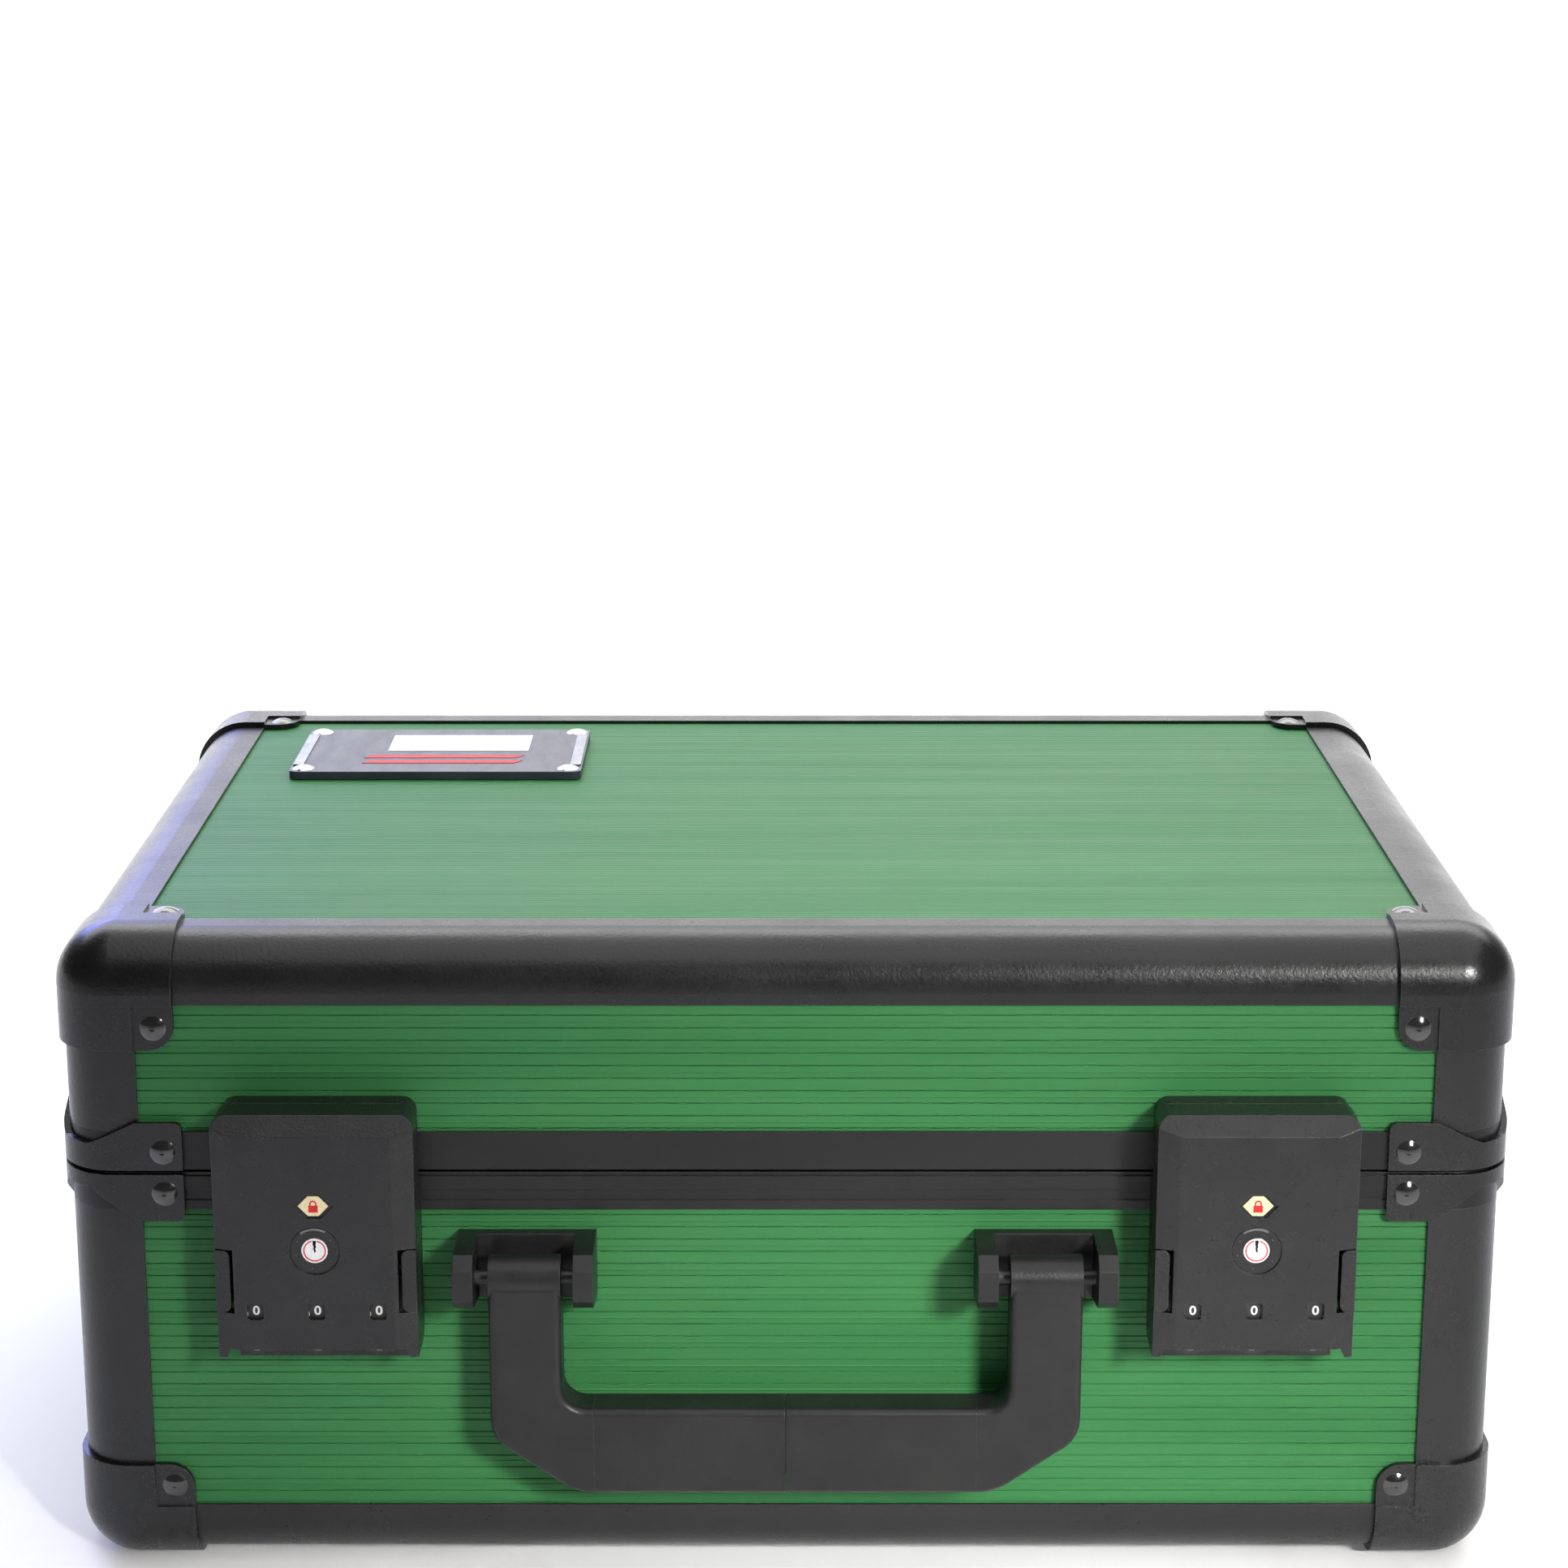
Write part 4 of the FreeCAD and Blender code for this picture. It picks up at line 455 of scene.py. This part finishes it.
def wavy_foam(name, node, face_up, wave, material):
    """A foam slab with an egg-crate face, up or down, and a rim that is rounded off."""
    low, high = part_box(node)
    span = high - low
    cells = [round(span[axis] / WAVE_PITCH) for axis in (0, 1)]
    steps = [count * WAVE_STEPS for count in cells]
    bm = bmesh.new()
    rows = []
    for j in range(steps[1] + 1):
        row = []
        for i in range(steps[0] + 1):
            u, v = i / steps[0], j / steps[1]
            lift = 0.5 + 0.25 * (math.cos(math.tau * cells[0] * u)
                                 + math.cos(math.tau * cells[1] * v))
            edge = min(u * span.x, (1 - u) * span.x, v * span.y, (1 - v) * span.y)
            drop = RIM_DROP * max(0.0, 1 - edge / RIM_WIDTH) ** 2
            depth = (1 - lift ** WAVE_SHARPNESS) * wave + drop
            z = high.z - depth if face_up else low.z + depth
            row.append(bm.verts.new((low.x + u * span.x, low.y + v * span.y, z)))
        rows.append(row)
    for below, above in zip(rows, rows[1:]):
        for i in range(steps[0]):
            bm.faces.new((below[i], below[i + 1], above[i + 1], above[i]))
    flat = low.z if face_up else high.z
    rim = (rows[0] + [row[-1] for row in rows[1:]] + rows[-1][-2::-1]
           + [row[0] for row in rows[-2:0:-1]])
    base = [bm.verts.new((vert.co.x, vert.co.y, flat)) for vert in rim]
    for k in range(len(rim)):
        after = (k + 1) % len(rim)
        bm.faces.new((rim[k], rim[after], base[after], base[k]))
    bm.faces.new(base)
    slab = piece(name, mesh_from(bm, name, smooth=True), material, node, (node,))


STRIP_THICK = 16 * MM
STRIP_SEAM = 0.5 * MM
STRIP_CORNER = 9 * MM
STRIP_ROUND = 1.6 * MM


def wall_foams(material):
    """Four cut strips round the base walls, with rounded edges."""
    low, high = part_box("wall_foam")
    thick, seam = STRIP_THICK, STRIP_SEAM
    boxes = {
        "left": (low, Vector((low.x + thick, high.y, high.z))),
        "right": (Vector((high.x - thick, low.y, low.z)), high),
        "front": (Vector((low.x + thick + seam, low.y, low.z)),
                  Vector((high.x - thick - seam, low.y + thick, high.z))),
        "back": (Vector((low.x + thick + seam, high.y - thick, low.z)),
                 Vector((high.x - thick - seam, high.y, high.z))),
    }
    for name, (start, end) in boxes.items():
        bm = bmesh.new()
        outline = [Vector((start.x, start.y, start.z)), Vector((end.x, start.y, start.z)),
                   Vector((end.x, end.y, start.z)), Vector((start.x, end.y, start.z))]
        height = end.z - start.z
        prism(bm, outline, Vector((0, 0, height)))
        if name in SIDES:
            outer = start.x if name == "left" else end.x
            upright = [edge for edge in bm.edges
                       if all(abs(vert.co.x - outer) < TOUCH for vert in edge.verts)
                       and abs(edge.verts[0].co.z - edge.verts[1].co.z) > height / 2]
            bmesh.ops.bevel(bm, geom=upright, offset=STRIP_CORNER, segments=6, profile=0.5,
                            affect="EDGES")
        bevelled(bm, STRIP_ROUND, 3)
        strip = piece(f"wall_foam_{name}", mesh_from(bm, f"wall_foam_{name}", smooth=True),
                      material, "wall_foam", ("wall_foam",))


# ---------------------------------------------------------------- numbers and lock faces
BOLDNESS = 0.02


def text_mesh(text, size, depth):
    """A glyph as a mesh, centred on the origin in x and y, thick in z."""
    curve = bpy.data.curves.new("glyph", "FONT")
    curve.body = text
    curve.size = size
    curve.extrude = depth / 2
    curve.offset = BOLDNESS * size
    curve.align_x = "CENTER"
    curve.align_y = "CENTER"
    curve.resolution_u = 4
    holder = bpy.data.objects.new("glyph", curve)
    bpy.context.scene.collection.objects.link(holder)
    bpy.context.view_layer.update()
    mesh = bpy.data.meshes.new_from_object(
        holder.evaluated_get(bpy.context.evaluated_depsgraph_get()))
    bpy.data.objects.remove(holder)
    bpy.data.curves.remove(curve)
    low = Vector([min(vert.co[a] for vert in mesh.vertices) for a in range(3)])
    high = Vector([max(vert.co[a] for vert in mesh.vertices) for a in range(3)])
    centre = (low + high) / 2
    mesh.transform(Matrix.Translation(-centre))
    return mesh, high - low


NUMBER_RADIUS = 6.05 * MM
NUMBER_TALL = 3.2 * MM
NUMBER_WIDE = 2.2 * MM
NUMBER_SHIFT = 0.12 * MM
NARROWEST = 0.4             # a narrow digit is fitted as if it were this much of its height
GLYPH_SIZE = 6 * MM
PAINT = 0.05 * MM
TO_FRONT = Matrix.Rotation(math.radians(90), 4, "X")


def dial_numbers(side, number, made):
    """White numbers 0 to 9 round the front of one dial, 0 at the top at rest."""
    node = f"{side}_lock_dial_{number}"
    centre = front_middle(node)
    bm = bmesh.new()
    for digit in range(10):
        glyph, span = text_mesh(str(digit), GLYPH_SIZE, PAINT)
        wide = max(span.x, NARROWEST * span.y)
        fit = Matrix.Diagonal((NUMBER_WIDE / wide, NUMBER_TALL / span.y, 1, 1))
        turn = Matrix.Rotation(math.tau * digit / 10, 4, "Y")
        place = Matrix.Translation((NUMBER_SHIFT, 0, NUMBER_RADIUS))
        glyph.transform(Matrix.Translation(centre) @ turn @ place @ TO_FRONT @ fit)
        bm.from_mesh(glyph)
        bpy.data.meshes.remove(glyph)
    name = f"{side}_dial_{number}_numbers"
    piece(name, mesh_from(bm, name), made["white_paint"], node)


FULL_TURN = (0.0, 1.0)
RING_STEPS = 72


def ring(bm, centre, inner, outer, front, back, arc=FULL_TURN):
    """A flat ring facing -y between two depths, along an arc given in turns."""
    start, end = arc
    steps = round(RING_STEPS * (end - start))
    closed = arc == FULL_TURN
    loops = []
    for k in range(steps if closed else steps + 1):
        angle = math.tau * (start + (end - start) * k / steps)
        loop = []
        for radius, depth in ((outer, front), (inner, front), (inner, back), (outer, back)):
            x, z = on_circle(radius, angle)
            loop.append(bm.verts.new((centre.x + x, depth, centre.z + z)))
        loops.append(loop)
    pairs = list(zip(loops, loops[1:])) + ([(loops[-1], loops[0])] if closed else [])
    for near, far in pairs:
        for k in range(4):
            after = (k + 1) % 4
            bm.faces.new((near[k], far[k], far[after], near[after]))
    if not closed:
        bm.faces.new(loops[0])
        bm.faces.new(loops[-1])


FACE_SHARE = 0.97
FACE_THICK = 0.12 * MM
FACE_STEPS = 56
RED_INNER = 0.76
RED_OUTER = 0.86
RED_FRONT = 0.16 * MM
RED_BACK = 0.05 * MM
RED_ARC = (0.29, 1.21)
# The keyway's walls in millimetres from the plug's centre: down the right, up the left.
KEYWAY = ((0.55, 2.6), (0.30, 2.0), (0.55, 1.3), (0.20, 0.6), (0.50, 0.1), (0.25, -0.55),
          (-0.20, -0.55), (-0.15, 0.1), (-0.55, 0.6), (-0.20, 1.3), (-0.55, 2.0), (-0.55, 2.6))


def plug_face(side, made):
    """White enamel face with a red ring round the keyway of one plug."""
    node = f"{side}_lock_plug"
    low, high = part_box(node)
    centre = front_middle(node)
    radius = (high.z - low.z) / 2
    face = FACE_SHARE * radius
    gap = math.asin(KEYWAY[0][0] * MM / face)
    outline = []
    for k in range(FACE_STEPS + 1):
        angle = math.pi / 2 + gap + (math.tau - 2 * gap) * k / FACE_STEPS
        outline.append(on_circle(face, angle))
    outline += [(x * MM, z * MM) for x, z in KEYWAY]
    bm = bmesh.new()
    prism(bm, facing(centre, outline), Vector((0, -FACE_THICK, 0)))
    name = f"{side}_plug_face"
    piece(name, mesh_from(bm, name), made["white_face"], node)
    bm = bmesh.new()
    ring(bm, centre, RED_INNER * radius, RED_OUTER * radius, low.y - RED_FRONT,
         low.y - RED_BACK, RED_ARC)
    name = f"{side}_plug_ring"
    piece(name, mesh_from(bm, name), made["red_enamel"], node)


COLLAR_CLEAR = 0.25 * MM
COLLAR_OUTER = 7.7 * MM
COLLAR_SINK = 0.7 * MM
COLLAR_RISE = 0.30 * MM
# The grey arc across the top of the collar is a painted highlight.
ARC_INNER = 6.9 * MM
ARC_FRONT = 0.55 * MM
ARC_BACK = 0.25 * MM
ARC_TURNS = (0.17, 0.35)
MARK_CIRCLE = 6.2 * MM
MARK_RADIUS = 0.22 * MM
MARK_THICK = 0.10 * MM
MARK_STEPS = 10
MARK_DEGREES = (35, 150, 195, 262, 325)


def collar(side, made):
    """Guide ring in the recess round the plug, with a grey arc at its top that is a painted
    highlight, and index marks.
    """
    cover = f"{side}_lock_cover"
    plug_low, plug_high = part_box(f"{side}_lock_plug")
    centre = middle(f"{side}_lock_plug")
    inner = (plug_high.z - plug_low.z) / 2 + COLLAR_CLEAR
    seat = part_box(cover)[0].y + COLLAR_SINK
    bm = bmesh.new()
    ring(bm, centre, inner, COLLAR_OUTER, seat - COLLAR_RISE, seat)
    name = f"{side}_collar"
    piece(name, mesh_from(bm, name), made["lock_metal"], cover)
    # The grey arc at the collar's top: a painted highlight.
    bm = bmesh.new()
    ring(bm, centre, ARC_INNER, COLLAR_OUTER, seat - ARC_FRONT, seat - ARC_BACK, ARC_TURNS)
    name = f"{side}_collar_arc"
    piece(name, mesh_from(bm, name), made["worn_grey"], cover)
    bm = bmesh.new()
    dot = [on_circle(MARK_RADIUS, math.tau * k / MARK_STEPS) for k in range(MARK_STEPS)]
    for degrees in MARK_DEGREES:
        x, z = on_circle(MARK_CIRCLE, math.radians(degrees))
        mark = Vector((centre.x + x, seat - COLLAR_RISE, centre.z + z))
        prism(bm, facing(mark, dot), Vector((0, -MARK_THICK, 0)))
    name = f"{side}_collar_marks"
    piece(name, mesh_from(bm, name), made["worn_grey"], cover)


EMBLEM_RISE = 15.1 * MM
EMBLEM_DEEP = 0.8 * MM
EMBLEM_THICK = 0.45 * MM
EMBLEM_HALF_WIDE = 4.9 * MM
EMBLEM_HALF_TALL = 3.35 * MM
EMBLEM_POINT = 3.2 * MM
EMBLEM_ROUND = 0.10 * MM
SIGN_THICK = 0.08 * MM
SIGN_HALF = 1.5 * MM
SIGN_FOOT = -2.1 * MM
SIGN_TOP = 0.2 * MM
SHACKLE_OUTER = 1.15 * MM
SHACKLE_INNER = 0.69 * MM
SHACKLE_FOOT = 0.25 * MM
SHACKLE_CENTRE = 0.75 * MM
SHACKLE_STEPS = 12


def shackle_outline():
    """The padlock sign's shackle, round the outside and back along the inside."""
    bend = [math.pi * k / SHACKLE_STEPS for k in range(SHACKLE_STEPS + 1)]
    outline = []
    for radius, angles in ((SHACKLE_OUTER, bend), (SHACKLE_INNER, bend[::-1])):
        start = math.copysign(radius, math.cos(angles[0]))
        outline.append((start, SHACKLE_FOOT))
        for angle in angles:
            x, z = on_circle(radius, angle)
            outline.append((x, SHACKLE_CENTRE + z))
        outline.append((-start, SHACKLE_FOOT))
    return outline


def emblem(side, made):
    """Cream hexagon in the cover's recess, with a plain red padlock sign on it."""
    cover = f"{side}_lock_cover"
    plug = middle(f"{side}_lock_plug")
    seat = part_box(cover)[0].y + EMBLEM_DEEP
    centre = Vector((plug.x, seat, plug.z + EMBLEM_RISE))
    wide, tall = EMBLEM_HALF_WIDE, EMBLEM_HALF_TALL
    flat = wide - EMBLEM_POINT
    bm = bmesh.new()
    hexagon = [(-wide, 0), (-flat, -tall), (flat, -tall), (wide, 0), (flat, tall), (-flat, tall)]
    prism(bm, facing(centre, hexagon), Vector((0, -EMBLEM_THICK, 0)))
    bevelled(bm, EMBLEM_ROUND)
    name = f"{side}_emblem"
    piece(name, mesh_from(bm, name), made["cream_enamel"], cover)
    bm = bmesh.new()
    front = centre - Vector((0, EMBLEM_THICK, 0))
    body = [(-SIGN_HALF, SIGN_FOOT), (SIGN_HALF, SIGN_FOOT), (SIGN_HALF, SIGN_TOP),
            (-SIGN_HALF, SIGN_TOP)]
    for outline in (body, shackle_outline()):
        prism(bm, facing(front, outline), Vector((0, -SIGN_THICK, 0)))
    name = f"{side}_emblem_padlock"
    piece(name, mesh_from(bm, name), made["red_enamel"], cover)


def lock_details(made):
    """Numbers, plug face, collar and emblem of both locks."""
    for side in SIDES:
        for number in (1, 2, 3):
            dial_numbers(side, number, made)
        plug_face(side, made)
        collar(side, made)
        emblem(side, made)


# ---------------------------------------------------------------- name plate
BAR_EDGE = 0.5 * MM
BAR_WIDE = 4.0 * MM
BAR_CLEAR = 9.5 * MM
BAR_RISE = 0.5 * MM
BAR_ROUND = 0.15 * MM
FIELD_RISE = 0.15 * MM
# The label's distances from the plate's left, near, right and far edges.
LABEL_INSETS = (34 * MM, 32 * MM, 22 * MM, 10 * MM)
STRIPE_STARTS = (13 * MM, 21 * MM)
STRIPE_INSET = 26 * MM
STRIPE_TALL = 4.2 * MM
STRIPE_LEAN = 3 * MM


def plate_field(name, material, low, high, start, rise, round_by=0.0, lean=0.0):
    """A raised field on the name plate; lean shifts its far edge to the right."""
    bm = bmesh.new()
    outline = [Vector((low[0], low[1], start)), Vector((high[0], low[1], start)),
               Vector((high[0] + lean, high[1], start)), Vector((low[0] + lean, high[1], start))]
    prism(bm, outline, Vector((0, 0, rise)))
    if round_by:
        bevelled(bm, round_by)
    piece(name, mesh_from(bm, name), material, "name_plate")


def name_plate(made):
    """Silver end bars, a blank label field and two red stripes on the plate."""
    low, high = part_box("name_plate")
    for side, start in (("left", low.x + BAR_EDGE), ("right", high.x - BAR_EDGE - BAR_WIDE)):
        plate_field(f"plate_bar_{side}", made["silver_bar"], (start, low.y + BAR_CLEAR),
                    (start + BAR_WIDE, high.y - BAR_CLEAR), high.z, BAR_RISE, BAR_ROUND)
    left, near, right, far = LABEL_INSETS
    plate_field("plate_label", made["white_face"], (low.x + left, low.y + near),
                (high.x - right, high.y - far), high.z, FIELD_RISE)
    for number, start in enumerate(STRIPE_STARTS, start=1):
        near = low.y + start
        plate_field(f"plate_stripe_{number}", made["red_enamel"], (low.x + STRIPE_INSET, near),
                    (high.x - STRIPE_INSET, near + STRIPE_TALL), high.z, FIELD_RISE,
                    lean=STRIPE_LEAN)


# ---------------------------------------------------------------- looks, stage, camera
def dress_nodes(made):
    """Give each CAD node the finish of its material slot."""
    slots = {row["node"]: row["material_slot"] for row in frame["record"]["subparts"]}
    for name, node in frame["nodes"].items():
        material = made[slots[name]]
        node.data.materials.clear()
        node.data.materials.append(material)


def area_light(name, place, target, size, energy, colour, spread_deg=180):
    """A rectangular lamp at a place, aimed at a target."""
    lamp = bpy.data.lights.new(name, "AREA")
    lamp.shape = "RECTANGLE"
    lamp.size, lamp.size_y = size
    lamp.energy = energy
    lamp.color = colour
    lamp.spread = math.radians(spread_deg)
    thing = bpy.data.objects.new(name, lamp)
    thing.location = place
    thing.rotation_euler = (Vector(target) - Vector(place)).to_track_quat("-Z", "Y").to_euler()
    bpy.context.scene.collection.objects.link(thing)


FLOOR_GAP = 0.1 * MM
FLOOR_NEAR = -6.0
FLOOR_HALF = 9.0
WALL_PLACE = 4.0
WALL_TALL = 6.0
SWEEP_RADIUS = 1.5
SWEEP_STEPS = 16


def sweep(material):
    """A pale floor that curves up into a wall far behind the case."""
    level = CAD_BOX[0].z - FLOOR_GAP
    curve_start = WALL_PLACE - SWEEP_RADIUS
    line = [(FLOOR_NEAR, level), (curve_start, level)]
    for step in range(1, SWEEP_STEPS + 1):
        turn = math.radians(90 * step / SWEEP_STEPS)
        line.append((curve_start + SWEEP_RADIUS * math.sin(turn),
                     level + SWEEP_RADIUS * (1 - math.cos(turn))))
    line.append((WALL_PLACE, level + WALL_TALL))
    bm = bmesh.new()
    rows = [[bm.verts.new((x, y, z)) for x in (-FLOOR_HALF, FLOOR_HALF)] for y, z in line]
    for near, far in zip(rows, rows[1:]):
        bm.faces.new((near[0], near[1], far[1], far[0]))
    mesh = bpy.data.meshes.new("floor")
    bm.to_mesh(mesh)
    bm.free()
    for face in mesh.polygons:
        face.use_smooth = True
    floor = bpy.data.objects.new("floor", mesh)
    bpy.context.scene.collection.objects.link(floor)
    mesh.materials.append(material)


WHITE = (1.0, 1.0, 1.0)
FLOOR_GLOW = 0.12
DIM_ROOM = 0.06
PALE_ROOM = 0.80


def surroundings():
    """The pale sweep, and a world that looks pale but lights the case only dimly."""
    pale = finish("pale_floor", (0.88, 0.88, 0.88), (0.86, 0.86, 0.86), (0.75, 0.85),
                  (2 * MM, 0.01 * MM), cloud=2.0, soften=0, specular=0.1)
    shader = pale.node_tree.nodes["Principled BSDF"]
    shader.inputs["Emission Color"].default_value = (*WHITE, 1.0)
    shader.inputs["Emission Strength"].default_value = FLOOR_GLOW
    sweep(pale)
    world = bpy.data.worlds.new("studio")
    world.use_nodes = True
    tree = world.node_tree
    ground = tree.nodes["Background"]
    ground.inputs["Color"].default_value = (*WHITE, 1.0)
    seen = add(tree, "LightPath").outputs["Is Camera Ray"]
    link(tree, spread(tree, seen, DIM_ROOM, PALE_ROOM, 0.0, 1.0), ground.inputs["Strength"])
    bpy.context.scene.world = world


def lights():
    """A small key on the right, a broad overhead, a cool rim and a lit wall behind."""
    low, high = CAD_BOX
    area_light("key", (0.74, -1.45, 0.80), (0.07, low.y, 0.03), size=(0.30, 0.30),
               energy=0.85, colour=(1.0, 0.99, 0.97), spread_deg=22)
    area_light("overhead", (0.35, -0.28, 1.5), (0.35, -0.28, 0.0), size=(1.8, 2.0),
               energy=19.0, colour=WHITE)
    area_light("left_rim", (-1.0, 1.5, 1.0), (low + high) / 2, size=(1.0, 0.5),
               energy=2.6, colour=(0.20, 0.24, 1.0), spread_deg=70)
    area_light("backdrop", (0.0, 2.4, 2.6), (0.0, 2.7, 0.0), size=(6.0, 2.5),
               energy=205.0, colour=WHITE, spread_deg=150)


SENSOR_WIDTH = 36.0
FOCAL_LENGTH = 77.25
CAMERA_PLACE = (-0.0005, -1.1707, 0.5345)
CAMERA_PITCH = math.radians(75.4)


def camera():
    """A long lens in front of the case, looking down at it."""
    data = bpy.data.cameras.new("camera")
    data.sensor_width = SENSOR_WIDTH
    data.lens = FOCAL_LENGTH
    thing = bpy.data.objects.new("camera", data)
    thing.location = CAMERA_PLACE
    thing.rotation_euler = (CAMERA_PITCH, 0, 0)
    bpy.context.scene.collection.objects.link(thing)
    bpy.context.scene.camera = thing


camera()
surroundings()
lights()
finishes = materials()
dress_nodes(finishes)
ribbed_panels(finishes)
wavy_foam("lid_foam_waves", "lid_foam", False, LID_WAVE, finishes["foam"])
wavy_foam("base_foam_waves", "base_foam", True, BASE_WAVE, finishes["foam"])
wall_foams(finishes["foam"])
lock_details(finishes)
name_plate(finishes)
bpy.context.scene.view_settings.view_transform = "Standard"
